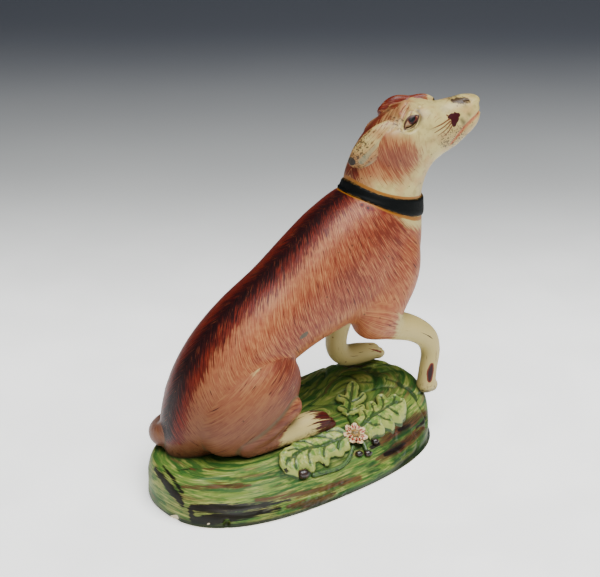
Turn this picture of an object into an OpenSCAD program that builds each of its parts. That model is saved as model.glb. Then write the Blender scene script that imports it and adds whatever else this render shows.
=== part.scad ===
// Hollow pottery figure of a seated hound on an oval mound with applied oak leaves.
// Frame: X runs from tail to nose, Y to the dog's left, Z up from the table.
// The origin is on the flat underside, at the middle of the base.

/* [Base] */
// Half length of the oval base
base_a = 60; // [58:0.5:62]
// Half width of the oval base
base_b = 32.3; // [31:0.1:34]
// Squareness of the oval, where 2 is an ellipse
base_n = 2.5; // [2.2:0.1:2.8]
// Turn of the oval against the dog's own middle plane, degrees
base_turn = 5; // [0:1:7]
// Height of the flat ground under the haunches
seat_z = 16.5; // [16:0.5:17]
// Extra height of the ground under the far forepaw
mound_h = 5.6; // [5:0.1:6]
// Thickness of the pressed clay in the base
base_wall = 4.5; // [4:0.5:5]
// Thickness of the flat slab that closes the base underneath
slab_t = 2; // [1.5:0.5:2]

/* [Dog] */
// Distance that the dog sits back from the middle of the base
dog_back = 2; // [1:0.5:3]
// Distance of the dog's middle plane to the left of the base's middle
dog_y = 6; // [5:0.5:7]
// Turn of the head to the dog's right, degrees
head_turn = 20; // [15:1:22]
// Thickness of the pressed clay in the trunk
trunk_wall = 4; // [3.5:0.5:4.5]
// Width of the collar band
collar_w = 5.2; // [4:0.2:5.4]
// Height of the collar above the neck
collar_t = 0.9; // [0.7:0.1:1.2]
// How far the collar hangs down at the sides of the neck
collar_sag = 2.4; // [1.6:0.2:2.6]

/* [Sprigs] */
// Length of the rear oak leaf
leaf_rear_l = 32; // [29:1:33]
// Length of the front oak leaf
leaf_front_l = 27; // [24:1:28]
// Length of the small leaf above the flower
leaf_top_l = 17; // [14:1:18]
// Thickness of a leaf at its midrib
leaf_t = 2.2; // [1.8:0.2:2.6]
// Diameter of the flower
flower_d = 10; // [9:0.5:10.5]
// Number of petals
petals = 7; // [6:1:8]

/* [Hidden] */

dig = 0.6;            // how far a luted piece is pressed into what it sits on
dense = 2;            // rings drawn for each station of a loft
round_n = 0.92;       // exponent that makes a body section slightly fuller than an ellipse
rim_back = 12.8;      // height of the base's wall at the tail end and on the left
rim_front = 15.5;     // height of the wall under the raised forepaw
rim_right = 4.2;      // height of the low wall below the long slope
bank_left = 1.5;      // steepness of the ground just inside the wall
bank_right = 0.62;    // steepness of the long slope on the right
head_pivot = [45 - dog_back, dog_y, 0];
neck_join = 12;       // the trunk station where the head is joined
station_gap = 5;      // distance between stations at the join

// Trunk stations from the seat to the collar:
// back x, back z, belly x, belly z, half width, extra width towards the back
TRUNK = [
    [-49, seat_z, -19, seat_z, 9, 0],
    [-49.4, 26, -12.5, 23, 15.2, 0],
    [-46.2, 37, -7, 31.5, 17.6, 0.04],
    [-41.2, 47.3, -4, 37.5, 17.6, 0.06],
    [-33, 58, -0.5, 41, 17, 0.08],
    [-21.5, 68.2, 6, 44, 16.4, 0.08],
    [-7, 77.5, 17, 47.6, 16.3, 0.08],
    [5.5, 87, 32, 51.3, 17.3, 0.06],
    [13.5, 93, 47, 54.5, 18.1, 0.04],
    [19.5, 96.6, 55.6, 62.8, 18, 0],
    [24, 98.9, 59, 74.5, 16.4, 0],
    [27.2, 100.2, 60, 85.2, 14.3, 0],
    [29.8, 101, 59.8, 93, 13.1, 0]
];

// Head stations from the collar to the nose, measured from the head pivot:
// top s, top z, bottom s, bottom z, half width, extra width towards the top, share of the turn
HEAD = [
    [-15.2, 101, 14.8, 93, 13.1, 0, 0],
    [-13.9, 106.8, 14.9, 96.8, 12.5, 0, 0.2],
    [-11.3, 112.9, 15.6, 100.4, 11.8, 0, 0.5],
    [-7.6, 119, 16.9, 104.3, 11, 0.04, 0.8],
    [-3, 124.3, 19, 108, 10.3, 0.08, 1],
    [2.3, 128.2, 22, 110.4, 10, 0.12, 1],
    [8, 130.4, 25.2, 112.2, 9.5, 0.14, 1],
    [13.5, 131.3, 27.9, 113.9, 8.6, 0.1, 1],
    [19, 130.4, 29.6, 115.4, 7.1, 0, 1],
    [25, 131.3, 31.4, 117, 6.2, -0.04, 1],
    [30.5, 132.2, 33.2, 118.8, 5.8, -0.04, 1],
    [34.2, 130.8, 35, 121, 4.6, 0, 1],
    [36.1, 128, 36.2, 123.4, 2.4, 0, 1]
];

// Joints of each limb: x, distance from the dog's middle plane, z, radius
FORELEG_R = [[35, 9.8, 50.5, 6.4], [42.5, 10.4, 48, 5.9], [52.3, 10.8, 43.8, 5], [59.2, 11, 38.4, 4.4],
             [61.5, 11.1, 32, 3.7], [60.6, 11.2, 25, 3.5], [59.7, 11.4, 18.2, 3.7]];
FORELEG_L = [[39, 8.5, 57, 8.5], [35, 9.6, 49, 5.6], [32.6, 10, 40.5, 4.4], [32.2, 10, 33, 4.1],
             [36, 10.2, 28.6, 4.2], [43, 10.4, 27, 4.1], [49.6, 10.6, 26, 3.4]];
HIND_FOOT = [[-25.5, 16.6, 20.6, 4.8], [-18, 17, 20.4, 4.7], [-6, 16.8, 20.4, 4.4], [2, 16.4, 20.6, 4.6],
             [6.5, 16.2, 20, 4]];
TAIL = [[-43, 1, 25, 5.5], [-46.8, 5.5, 21.4, 4.7], [-45.5, 11.5, 19.8, 4.1], [-40.5, 16.8, 19, 3.6],
        [-33.5, 20, 18.7, 3.2], [-26, 21.6, 18.3, 2.8], [-19, 22.3, 17.9, 2.3]];

// Thigh relief on the side of the trunk: middle x, middle z, half length, half height, slope, rise
THIGH = [-20, 33.5, 25, 17, 32, 5];
thigh_rings = 9;      // trunk rings that the thigh covers
thigh_arc = [62, 174];   // from and to, degrees round the body from the back

boss_r = 1.9;         // radius of the flower's boss
stem_r = 0.9;         // radius of a rolled twig
flower_xy = [15, -17.4];
flower_tilt = 30;     // lean of the flower out over the slope, degrees
REAR_LEAF = [11.5, -18.2, 185, 17];     // root x, root y, heading, width
FRONT_LEAF = [18, -14.2, 21, 19];
TOP_LEAF = [19, -7.5, 50, 9];

// Acorns on the slope: x, y, radius
ACORNS = [[-13, -25.4, 1.9], [16.5, -24.2, 1.3], [13, -23.4, 1.2], [22, -21, 1.2]];
// Twigs as runs of places on the ground
STEMS = [[[12, -20.5], [8, -23.6], [2, -25.6], [-9, -25.8]], [[16.5, -19], [17, -20.6], [16.6, -22.6]],
         [[17.4, -13.6], [18, -11], [19, -8.6]]];

function mix(a, b, t) = a + (b - a) * t;
function clamp01(v) = min(1, max(0, v));
function spow(v, e) = sign(v) * pow(abs(v), e);
function turned(p, a) = [p.x * cos(a) - p.y * sin(a), p.x * sin(a) + p.y * cos(a)];

// Smooth curve through a list of stations, with steps rings for each station
function spline_at(list, i, t) =
    let (n = len(list) - 1,
         p0 = list[max(i - 1, 0)], p1 = list[i], p2 = list[min(i + 1, n)], p3 = list[min(i + 2, n)])
    0.5 * (2 * p1 + (p2 - p0) * t + (2 * p0 - 5 * p1 + 4 * p2 - p3) * t * t
           + (3 * p1 - p0 - 3 * p2 + p3) * t * t * t);
function smooth(list, steps) = concat(
    [for (i = [0 : len(list) - 2]) for (s = [0 : steps - 1]) spline_at(list, i, s / steps)],
    [list[len(list) - 1]]);

// Closed solid through rings that all have the same even number of points.
// Each end is closed by strips between point k and point n - 1 - k, so a C-shaped ring works too
module loft(rings) {
    n = len(rings[0]);
    last = (len(rings) - 1) * n;
    sides = [for (j = [0 : len(rings) - 2]) for (i = [0 : n - 1])
        let (a = j * n + i, b = j * n + (i + 1) % n, c = b + n, d = a + n)
        each [[a, b, c], [a, c, d]]];
    ends = [for (k = [0 : n / 2 - 2]) let (a = k, b = k + 1, c = n - 2 - k, d = n - 1 - k)
        each [[c, b, a], [d, c, a], [last + a, last + b, last + c], [last + a, last + c, last + d]]];
    polyhedron([for (r = rings) each r], concat(sides, [for (t = ends) if (t[0] != t[1]) t]));
}

// Closed band: the last ring joins the first
module ring_loft(rings) {
    n = len(rings[0]);
    m = len(rings);
    polyhedron([for (r = rings) each r], [for (j = [0 : m - 1]) for (i = [0 : n - 1])
        let (a = j * n + i, b = j * n + (i + 1) % n, c = (j + 1) % m * n + (i + 1) % n, d = (j + 1) % m * n + i)
        each [[a, b, c], [a, c, d]]]);
}

// Point on one body section. st is a station, g the growth, f the angle from the back
function trunk_point(st, g, f) =
    let (top = [st[0], st[1]], low = [st[2], st[3]], c = (top + low) / 2,
         h = norm(top - low) / 2, u = (top - low) / (2 * h),
         v = (h + g) * spow(cos(f), round_n),
         w = (st[4] + g) * (1 + st[5] * cos(f)) * spow(sin(f), round_n))
    [c.x + u.x * v - dog_back, dog_y - w, c.y + u.y * v];

// Point on one head section, turned with the head
function head_point(st, g, f) =
    let (top = [st[0], st[1]], low = [st[2], st[3]], c = (top + low) / 2,
         h = norm(top - low) / 2, u = (top - low) / (2 * h),
         v = (h + g) * spow(cos(f), round_n),
         w = (st[4] + g) * (1 + st[5] * cos(f)) * spow(sin(f), round_n),
         p = turned([c.x + u.x * v, -w], -head_turn * st[6]))
    head_pivot + [p.x, p.y, c.y + u.y * v];

// A point s ahead of the head pivot and l to the dog's left, in the turned head
function head_xyz(s, l, z) = let (p = turned([s, l], -head_turn)) head_pivot + [p.x, p.y, z];

module head_solid(steps = 32)
    loft([for (st = smooth(HEAD, dense)) [for (i = [0 : steps - 1]) head_point(st, 0, i * 360 / steps)]]);

// One pressed half of the trunk: a C-shaped section carried from the seat to the neck
module trunk_half(side, steps = 18)
    loft([for (st = smooth(TRUNK, dense)) [
        for (i = [0 : steps]) trunk_point(st, 0, side * i * 180 / steps),
        for (i = [steps : -1 : 0]) trunk_point(st, -trunk_wall, side * i * 180 / steps)]]);

// Rise of the thigh above the trunk at one place of the dog's side
function thigh_rise(x, z) =
    let (p = turned([x - THIGH[0], z - THIGH[1]], -THIGH[4]),
         q = clamp01(1 - pow(p.x / THIGH[2], 2) - pow(p.y / THIGH[3], 2)))
    0.3 + THIGH[5] * pow(q, 0.7);

// The thigh as a relief pressed on the trunk's side, on the trunk's own grid
module thigh(side, steps = 24) {
    stations = smooth(TRUNK, dense);
    loft([for (j = [0 : thigh_rings]) let (st = stations[j])
        let (arc = [for (i = [0 : steps]) side * mix(thigh_arc[0], thigh_arc[1], i / steps)])
        concat([for (f = arc) let (p = trunk_point(st, 0, f)) trunk_point(st, thigh_rise(p.x, p.z), f)],
               [for (i = [steps : -1 : 0]) trunk_point(st, 0, arc[i])])]);
}

// Rings of a round limb along its joints, with rounded ends
function unit(v) = v / norm(v);
function limb_ring(at, way, ref, r, flat, steps) =
    let (side = unit(ref - way * (ref * way)), up = cross(way, side))
    [for (i = [0 : steps - 1]) at + r * (cos(i * 360 / steps) * up + flat * sin(i * 360 / steps) * side)];
function xyz(p) = [p[0], p[1], p[2]];
function limb_rings(joints, ref, flat, steps) =
    let (path = smooth(joints, dense), n = len(path) - 1,
         way = [for (i = [0 : n]) unit(xyz(path[min(i + 1, n)]) - xyz(path[max(i - 1, 0)]))])
    concat(
        [for (a = [20, 50]) limb_ring(xyz(path[0]) - way[0] * path[0][3] * cos(a) * cap_bulge, way[0], ref,
                                      path[0][3] * sin(a), flat, steps)],
        [for (i = [0 : n]) limb_ring(xyz(path[i]), way[i], ref, path[i][3], flat, steps)],
        [for (a = [50, 20]) limb_ring(xyz(path[n]) + way[n] * path[n][3] * cos(a) * cap_bulge, way[n], ref,
                                      path[n][3] * sin(a), flat, steps)]);

// A limb to one side of the dog
module limb(joints, side, ref = [0, 1, 0], flat = 1, steps = 16)
    loft(limb_rings([for (j = joints) [j[0] - dog_back, dog_y + side * j[1], j[2], j[3]]], ref, flat, steps));

// Outline of the base at share r of its size
function oval(f, r) = turned([r * base_a * spow(cos(f), 2 / base_n), r * base_b * spow(sin(f), 2 / base_n)],
                             base_turn);

// How much a place belongs to the long slope on the dog's right, from 0 to 1
function nearness(v) = let (t = clamp01((-v - 0.05) / 0.75)) t * t * (3 - 2 * t);
function soft_min(a, b, k) = -k * ln(exp(-a / k) + exp(-b / k));
function swell(x, y) = let (q = pow((x - 45) / 23, 2) + pow((y - 13) / 19, 2)) mound_h * exp(-q * q);

// Height of the ground
function ground(x, y) =
    let (p = turned([x, y], -base_turn),
         r = max(0.001, pow(pow(abs(p.x / base_a), base_n) + pow(abs(p.y / base_b), base_n), 1 / base_n)),
         near = nearness(p.y / (r * base_b)),
         d = (1 - r) * norm(p) / r,
         front = clamp01((p.x / (r * base_a) - 0.3) / 0.6),
         rim = mix(mix(rim_back, rim_front, front), rim_right, near), slope = mix(bank_left, bank_right, near))
    r < 0.05 ? seat_z : soft_min(seat_z + swell(x, y), rim + slope * d, 0.9);

cap_bulge = 0.8;      // how far a limb's end bulges, as a share of its radius
rim_bevel = 1.2;      // bevel along the foot and the top edge of the base's wall
vault_low = 2.6;      // lowest level of the vault inside the mound
rim_r = 1 - base_wall / base_b;   // inner edge of the foot rim, as a share of the oval
base_rings = [0.975, 0.94, 0.88, 0.8, 0.7, 0.58, 0.45, 0.3, 0.12];

function ground_ring(r, drop, steps) =
    [for (i = [0 : steps - 1]) let (p = oval(i * 360 / steps, r)) [p.x, p.y, ground(p.x, p.y) - drop]];
function flat_ring(r, z, steps) = [for (i = [0 : steps - 1]) let (p = oval(i * 360 / steps, r)) [p.x, p.y, z]];
function bank(steps) = concat(
    [flat_ring(0.985, 0, steps), flat_ring(1, rim_bevel, steps)],
    [[for (i = [0 : steps - 1])
        let (p = oval(i * 360 / steps, 1), q = oval(i * 360 / steps, 0.999))
        [p.x, p.y, ground(q.x, q.y) - rim_bevel]]],
    [for (r = base_rings) ground_ring(r, 0, steps)]);

// The mound as one shell: up the inside of the hollow, round the foot rim and over the outside
module base_shell(steps = 64) {
    hollow = [for (r = [0.06, 0.3, 0.5, 0.66, 0.8])
        [for (i = [0 : steps - 1]) let (p = oval(i * 360 / steps, r))
            [p.x, p.y, r < 0.1 ? seat_z - base_wall : max(vault_low, ground(p.x, p.y) - base_wall)]]];
    loft(concat(hollow, [flat_ring(rim_r, 2, steps), flat_ring(rim_r, 0, steps)], bank(steps),
                [flat_ring(0.06, seat_z, steps)]));
}

// Flat slab inside the foot rim, level with it
module slab(steps = 64)
    linear_extrude(slab_t) polygon([for (i = [0 : steps - 1]) oval(i * 360 / steps, rim_r)]);

module base_mound() color("#8fa860") base_shell();
module base_slab() color("#d8cdb4") slab();
module trunk_right() color("#c08a72") trunk_half(1);
module trunk_left() color("#b87f68") trunk_half(-1);
module thigh_right() color("#c89c80") thigh(1);
module thigh_left() color("#c89c80") thigh(-1);
module hind_foot_right() color("#d9c3a0") limb(HIND_FOOT, -1);
module hind_foot_left() color("#d9c3a0") limb(HIND_FOOT, 1);
module foreleg_right() color("#e0d3ad") limb(FORELEG_R, -1);
module foreleg_left() color("#e0d3ad") limb(FORELEG_L, 1);
module tail() color("#b87f68") limb(TAIL, 1, [0, 0, 1], 1, 14);
module head() color("#ddcba6") head_solid();

// Point on the neck's surface, t millimetres above the join, or below it where t is negative
function neck_point(t, g, f) = t < 0
    ? trunk_point(mix(TRUNK[neck_join], TRUNK[neck_join - 1], -t / station_gap), g, f)
    : head_point(mix(HEAD[0], HEAD[1], t / station_gap), g, f);

// Strip of clay round the neck, over the join of trunk and head
module collar(steps = 48) {
    hoops = [for (i = [0 : steps - 1])
        let (f = i * 360 / steps, mid = -collar_sag * pow(sin(f), 2), low = mid - collar_w / 2,
             high = mid + collar_w / 2)
        [for (t = [low, mid, high]) neck_point(t, collar_t, f), for (t = [high, mid, low]) neck_point(t, 0, f)]];
    color("#151a1c") ring_loft(hoops);
}

// Flat drop-shaped ear from root to tip. Joints are s, l, z and half width in the turned head
function ear_joints(list) = [for (j = list) let (p = head_xyz(j[0], j[1], j[2])) [p.x, p.y, p.z, j[3]]];
module ear(list, flat)
    loft(limb_rings(ear_joints(list), unit([sin(head_turn), cos(head_turn), 0]), flat, 16));

module ear_right() color("#d8bd98")
    ear([[-0.1, -6.2, 123.6, 3], [-3.4, -6.9, 120.4, 4.8], [-8, -6.8, 115.8, 5], [-12.1, -6, 112.4, 2.6]], 0.36);
module ear_left() color("#a3553f")
    ear([[2.5, 7, 126, 2.8], [6.2, 7.4, 127.8, 4], [12, 7.2, 128.6, 3.9], [18.4, 5.6, 129.4, 2.3]], 0.62);

// Half width of a lobed oak leaf at share t of its length
function lobe(t) = sin(180 * pow(t, 0.8)) * (0.74 + 0.26 * cos(360 * 3.5 * t)) + 0.05;

// Oak leaf that lies on the ground. lie gives its root, heading in degrees and width
module oak_leaf(lie, length, steps = 28) {
    across = [-1, -0.55, 0, 0.55, 1];
    place = function (t, k) [lie[0], lie[1]] + turned([t * length, k * lie[3] / 2 * lobe(t)], lie[2]);
    top = [for (j = [0 : steps]) let (t = j / steps) for (k = across)
        let (p = place(t, k)) [p.x, p.y, ground(p.x, p.y) + mix(leaf_t, 0.7, abs(k)) * mix(0.5, 1, sin(180 * t))]];
    low = [for (j = [0 : steps]) let (t = j / steps) for (k = across)
        let (p = place(t, k)) [p.x, p.y, ground(p.x, p.y) - dig]];
    m = len(across);
    n = len(top);
    grid = [for (j = [0 : steps - 1]) for (i = [0 : m - 2]) let (a = j * m + i) [a, a + 1, a + m + 1, a + m]];
    edge = concat([for (i = [0 : m - 1]) i], [for (j = [1 : steps]) j * m + m - 1],
                  [for (i = [m - 2 : -1 : 0]) steps * m + i], [for (j = [steps - 1 : -1 : 1]) j * m]);
    polyhedron(concat(top, low), [
        for (q = grid) each [[q[0], q[1], q[2]], [q[0], q[2], q[3]]],
        for (q = grid) each [[n + q[2], n + q[1], n + q[0]], [n + q[3], n + q[2], n + q[0]]],
        for (i = [0 : len(edge) - 1]) let (a = edge[i], b = edge[(i + 1) % len(edge)])
            each [[b, a, n + a], [b, n + a, n + b]]]);
}

module oak_leaf_rear() color("#b9c27a") oak_leaf(REAR_LEAF, leaf_rear_l);
module oak_leaf_front() color("#a8bc6c") oak_leaf(FRONT_LEAF, leaf_front_l);
module oak_leaf_top() color("#7f9c50") oak_leaf(TOP_LEAF, leaf_top_l, 20);

module at_flower()
    translate([flower_xy.x, flower_xy.y, ground(flower_xy.x, flower_xy.y) + 0.4])
        rotate([flower_tilt, 0, -8]) children();

// Flower dish with a scalloped edge, one scallop for each petal
function petal_ring(share, z, cut) = [for (i = [0 : 55])
    let (f = i * 360 / 56, r = flower_d / 2 * share * (1 - cut * pow(abs(cos(f * petals / 2)), 6)))
    [r * cos(f), r * sin(f), z]];
module flower_petals() color("#e8dcc0") at_flower()
    loft([petal_ring(0.3, 0, 0), petal_ring(0.85, 0.7, 0.25), petal_ring(1, 1.7, 0.3),
          petal_ring(0.8, 1.9, 0.2), petal_ring(0.4, 1.4, 0)]);

module flower_boss() color("#b8913c") at_flower() translate([0, 0, 1.4])
    rotate_extrude($fn = 48) intersection() {
        scale([1, 0.8]) circle(r = boss_r, $fn = 48);
        square(boss_r);
    }

module acorns() color("#2b1a16")
    for (p = ACORNS) translate([p.x, p.y, ground(p.x, p.y) + p.z - dig]) sphere(r = p.z, $fn = 24);

// Rolled twigs that join the leaves, the flower and the acorns
module leaf_stems() color("#6f7f3c")
    for (run = STEMS)
        loft(limb_rings([for (p = run) [p.x, p.y, ground(p.x, p.y) + stem_r - dig, stem_r]], [0, 0, 1], 1, 8));

base_mound();
base_slab();
trunk_right();
trunk_left();
thigh_right();
thigh_left();
hind_foot_right();
hind_foot_left();
foreleg_right();
foreleg_left();
tail();
collar();
head();
ear_right();
ear_left();
oak_leaf_rear();
oak_leaf_front();
oak_leaf_top();
leaf_stems();
flower_petals();
flower_boss();
acorns();
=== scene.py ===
"""Glazed pottery hound seated on a grassy mound with applied oak leaves, a flower and acorns.

Shapes are worked out in millimetres as distance fields on grids, meshed, and placed in the CAD frame.
"""

import math

import bmesh
import bpy
import numpy as np
import openvdb
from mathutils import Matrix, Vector
from mathutils.bvhtree import BVHTree


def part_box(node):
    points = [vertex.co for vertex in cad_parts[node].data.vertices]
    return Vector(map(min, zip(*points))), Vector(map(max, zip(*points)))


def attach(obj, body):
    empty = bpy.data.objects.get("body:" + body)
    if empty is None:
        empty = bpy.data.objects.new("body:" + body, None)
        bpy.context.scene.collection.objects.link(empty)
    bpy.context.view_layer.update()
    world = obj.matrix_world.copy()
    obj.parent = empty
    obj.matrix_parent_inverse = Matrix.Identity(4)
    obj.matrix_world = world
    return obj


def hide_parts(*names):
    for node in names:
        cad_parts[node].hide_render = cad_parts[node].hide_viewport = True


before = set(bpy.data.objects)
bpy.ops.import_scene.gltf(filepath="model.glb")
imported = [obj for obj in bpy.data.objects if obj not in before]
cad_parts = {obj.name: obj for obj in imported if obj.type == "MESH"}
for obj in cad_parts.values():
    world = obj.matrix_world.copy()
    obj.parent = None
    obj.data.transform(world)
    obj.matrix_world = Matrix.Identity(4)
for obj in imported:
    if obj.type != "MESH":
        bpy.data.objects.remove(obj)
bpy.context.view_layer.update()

MM = 0.001


# ---------------------------------------------------------------- places taken from the CAD frame

def cell(full):
    return full


def node_box(node):
    """Lowest and highest corner of a CAD node in millimetres."""
    low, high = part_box(node)
    return np.array(low) / MM, np.array(high) / MM


BASE_LOW, BASE_HIGH = node_box("base_mound")
TRUNK_LOW, TRUNK_HIGH = node_box("trunk_right")
MID_Y = TRUNK_HIGH[1]             # the dog's own middle plane
SEAT_Z = TRUNK_LOW[2]             # flat ground under the haunches
COLLAR_BACK = 27.6                # back of the collar along X in the numbers of the stations
DOG_X = round(node_box("collar")[0][0] - COLLAR_BACK, 1)   # shift of the stations along X
HEAD_X = DOG_X + 45.0             # the head turns about this upright axis
HEAD_TURN = math.radians(20.0)

# ---------------------------------------------------------------- stations of the dog

# back x, back z, belly x, belly z, half width, extra width to the back
TRUNK = [
    [-48.6, 14.0, -17.0, 14.0, 8.0, 0],
    [-49.0, 16.5, -19.0, 16.5, 9.0, 0],
    [-49.4, 26.0, -12.5, 23.0, 15.2, 0],
    [-46.2, 37.0, -7.0, 31.5, 17.6, 0.04],
    [-41.2, 47.3, -4.0, 37.5, 17.6, 0.06],
    [-33.0, 58.0, -0.5, 41.0, 17.0, 0.08],
    [-21.5, 68.2, 6.0, 44.0, 16.4, 0.08],
    [-7.0, 77.5, 17.0, 47.6, 16.3, 0.08],
    [5.5, 87.0, 32.0, 51.3, 17.3, 0.06],
    [13.5, 93.0, 47.0, 54.5, 18.1, 0.04],
    [19.5, 96.6, 55.6, 62.8, 18.0, 0],
    [24.0, 98.9, 59.0, 74.5, 16.4, 0],
    [27.2, 100.2, 60.0, 85.2, 14.3, 0],
    [29.8, 101.0, 59.8, 93.0, 13.1, 0],
]
# the same for the head, measured from its axis, with the share of the turn as the last value
HEAD = [
    [-13.9, 106.8, 14.9, 96.8, 12.5, 0, 0.2],
    [-11.3, 112.9, 15.6, 100.4, 11.8, 0, 0.5],
    [-7.6, 119.0, 16.9, 104.3, 11.0, 0.04, 0.8],
    [-3.0, 124.3, 19.0, 108.0, 10.3, 0.08, 1],
    [2.3, 128.2, 22.0, 110.4, 10.0, 0.12, 1],
    [8.0, 130.4, 25.2, 112.2, 9.5, 0.14, 1],
    [13.5, 131.3, 27.9, 113.9, 8.6, 0.1, 1],
    [19.0, 130.4, 29.6, 115.4, 7.1, 0, 1],
    [25.0, 131.3, 31.4, 117.0, 6.2, -0.04, 1],
    [30.5, 132.2, 33.2, 118.8, 5.8, -0.04, 1],
    [34.2, 130.8, 35.0, 121.0, 4.6, 0, 1],
    [36.1, 128.0, 36.2, 123.4, 2.4, 0, 1],
]
ROUNDNESS = 0.92          # exponent that makes a section slightly fuller than an ellipse

# joints of each limb: x, distance from the dog's middle plane, z, radius
FORELEG_RIGHT = [[34, 9.6, 52, 7.5], [42.5, 10.4, 48, 5.9], [52.3, 10.8, 43.8, 5.0], [59.2, 11, 38.4, 4.4],
                 [61.5, 11.1, 32, 3.7], [60.6, 11.2, 25, 3.5], [59.7, 11.4, 18.4, 3.7]]
FORELEG_LEFT = [[39, 8.5, 57, 8.5], [35, 9.6, 49, 5.6], [32.6, 10, 40.5, 4.4], [32.2, 10, 33, 4.1],
                [36, 10.2, 28.6, 4.2], [43, 10.4, 27.2, 4.1], [49.6, 10.6, 26.2, 3.4]]
HIND_FOOT = [[-25.5, 16.6, 20.6, 4.8], [-18, 17, 20.4, 4.7], [-6, 16.8, 20.4, 4.4], [2, 16.4, 20.6, 4.6],
             [6.5, 16.2, 20, 4.0]]
SHANK = [[-27.5, 17.2, 22.5, 4.6], [-19, 18.6, 25.6, 4.6], [-8.5, 17.6, 31.5, 5.0]]
TAIL = [[-43, 1, 25, 5.5], [-46.8, 5.5, 21.4, 4.7], [-45.5, 11.5, 19.8, 4.1], [-40.5, 16.8, 19, 3.6],
        [-33.5, 20, 18.7, 3.2], [-26, 21.6, 18.3, 2.8], [-19, 22.3, 17.9, 2.3]]
# in the turned head: s ahead of the axis, l to the dog's left, z, half width
EAR_RIGHT = [[-0.1, -6.2, 123.6, 3.0], [-3.4, -6.9, 120.4, 4.8], [-8.0, -6.8, 115.8, 5.0],
             [-12.1, -6.0, 112.4, 2.6]]
EAR_LEFT = [[2.5, 7.0, 126.0, 2.8], [6.6, 7.3, 127.9, 3.9], [11.8, 7.2, 128.1, 3.3], [16.4, 6.2, 129.0, 3.0],
            [19.4, 5.2, 129.2, 1.6]]


# ---------------------------------------------------------------- small maths

def clamp01(v):
    return np.clip(v, 0.0, 1.0)


def ramp(low, high, v):
    """Smooth step from 0 at low to 1 at high."""
    t = clamp01((v - low) / (high - low))
    return t * t * (3 - 2 * t)


def blend(a, b, t):
    return a + (b - a) * t


def signed_power(v, e):
    return np.sign(v) * np.abs(v) ** e


def smooth_min(a, b, k):
    h = np.clip(0.5 + 0.5 * (b - a) / k, 0, 1)
    return b + (a - b) * h - k * h * (1 - h)


def smooth_max(a, b, k):
    return -smooth_min(-a, -b, k)


def spline(points, steps):
    """Catmull-Rom curve through points (or whole rings of points), with steps parts for each span."""
    p = np.asarray(points, float)
    n = len(p) - 1
    out = []
    for i in range(n):
        p0, p1, p2, p3 = p[max(i - 1, 0)], p[i], p[i + 1], p[min(i + 2, n)]
        for t in np.arange(steps) / steps:
            out.append(0.5 * (2 * p1 + (p2 - p0) * t + (2 * p0 - 5 * p1 + 4 * p2 - p3) * t * t
                              + (3 * p1 - p0 - 3 * p2 + p3) * t ** 3))
    out.append(p[n])
    return np.array(out)


NOISE_SIZE = 32
NOISE_TABLE = np.random.default_rng(7).random((NOISE_SIZE,) * 3).astype(np.float32) * 2 - 1


def noise(x, y, z, octaves=1):
    """Smooth value noise from -1 to 1, with one lump for each unit."""
    total, weight = 0.0, 0.0
    for octave in range(octaves):
        gain, f = 0.5 ** octave, 2.0 ** octave
        cells = []
        for v in (x * f + 11.3 * octave, y * f + 5.7 * octave, z * f + 3.1 * octave):
            low = np.floor(v)
            t = (v - low).astype(np.float32)
            cells.append((low.astype(np.int32) % NOISE_SIZE, t * t * (3 - 2 * t)))
        (i, u), (j, v), (k, w) = cells
        i1, j1, k1 = (i + 1) % NOISE_SIZE, (j + 1) % NOISE_SIZE, (k + 1) % NOISE_SIZE
        t = NOISE_TABLE
        low = blend(blend(t[i, j, k], t[i1, j, k], u), blend(t[i, j1, k], t[i1, j1, k], u), v)
        high = blend(blend(t[i, j, k1], t[i1, j, k1], u), blend(t[i, j1, k1], t[i1, j1, k1], u), v)
        total = total + gain * blend(low, high, w)
        weight += gain
    return total / weight


def to_head(x, y, z):
    """World millimetres to the turned head: s ahead of its axis, l to the dog's left, z."""
    dx, dy = x - HEAD_X, y - MID_Y
    c, s = math.cos(HEAD_TURN), math.sin(HEAD_TURN)
    return dx * c - dy * s, dx * s + dy * c, z


def from_head(s_ahead, left, z):
    """The reverse of to_head for one place."""
    c, s = math.cos(HEAD_TURN), math.sin(HEAD_TURN)
    return np.array([HEAD_X + s_ahead * c + left * s, MID_Y - s_ahead * s + left * c, z])


# ---------------------------------------------------------------- distance shapes

class Shape:
    """A distance function and the box that it fills."""

    def __init__(self, dist, low, high):
        self.dist = dist
        self.low = np.asarray(low, float)
        self.high = np.asarray(high, float)


LIMB_STEPS = 6            # straight parts between two joints of a limb


def chain(joints, steps, flat=1.0, across=(0.0, 1.0, 0.0)):
    """Round limb through joints (x, y, z, radius). flat below 1 thins it along the across direction."""
    path = spline(joints, steps)
    radii = path[:, 3:4]
    way = np.asarray(across, float)
    grow = 1 / flat - 1

    def dist(x, y, z):
        best = None
        for a, b in zip(path[:-1], path[1:]):
            px, py, pz = x - a[0], y - a[1], z - a[2]
            d = b[:3] - a[:3]
            t = np.clip((px * d[0] + py * d[1] + pz * d[2]) / float(d @ d), 0, 1)
            qx, qy, qz = px - t * d[0], py - t * d[1], pz - t * d[2]
            square = qx * qx + qy * qy + qz * qz
            if grow:
                along = qx * way[0] + qy * way[1] + qz * way[2]
                square = square + (grow * grow + 2 * grow) * along * along
            one = np.sqrt(square) - (a[3] + t * (b[3] - a[3]))
            best = one if best is None else np.minimum(best, one)
        return best * (flat ** 0.5)

    return Shape(dist, (path[:, :3] - radii).min(0), (path[:, :3] + radii).max(0))


def limb_joints(joints, side):
    """Joints given by distance from the dog's middle plane. side is 1 for the left and -1 for the right."""
    return [[x + DOG_X, MID_Y + side * l, z, r] for x, l, z, r in joints]


def limb(joints, side):
    return chain(limb_joints(joints, side), LIMB_STEPS)


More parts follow.
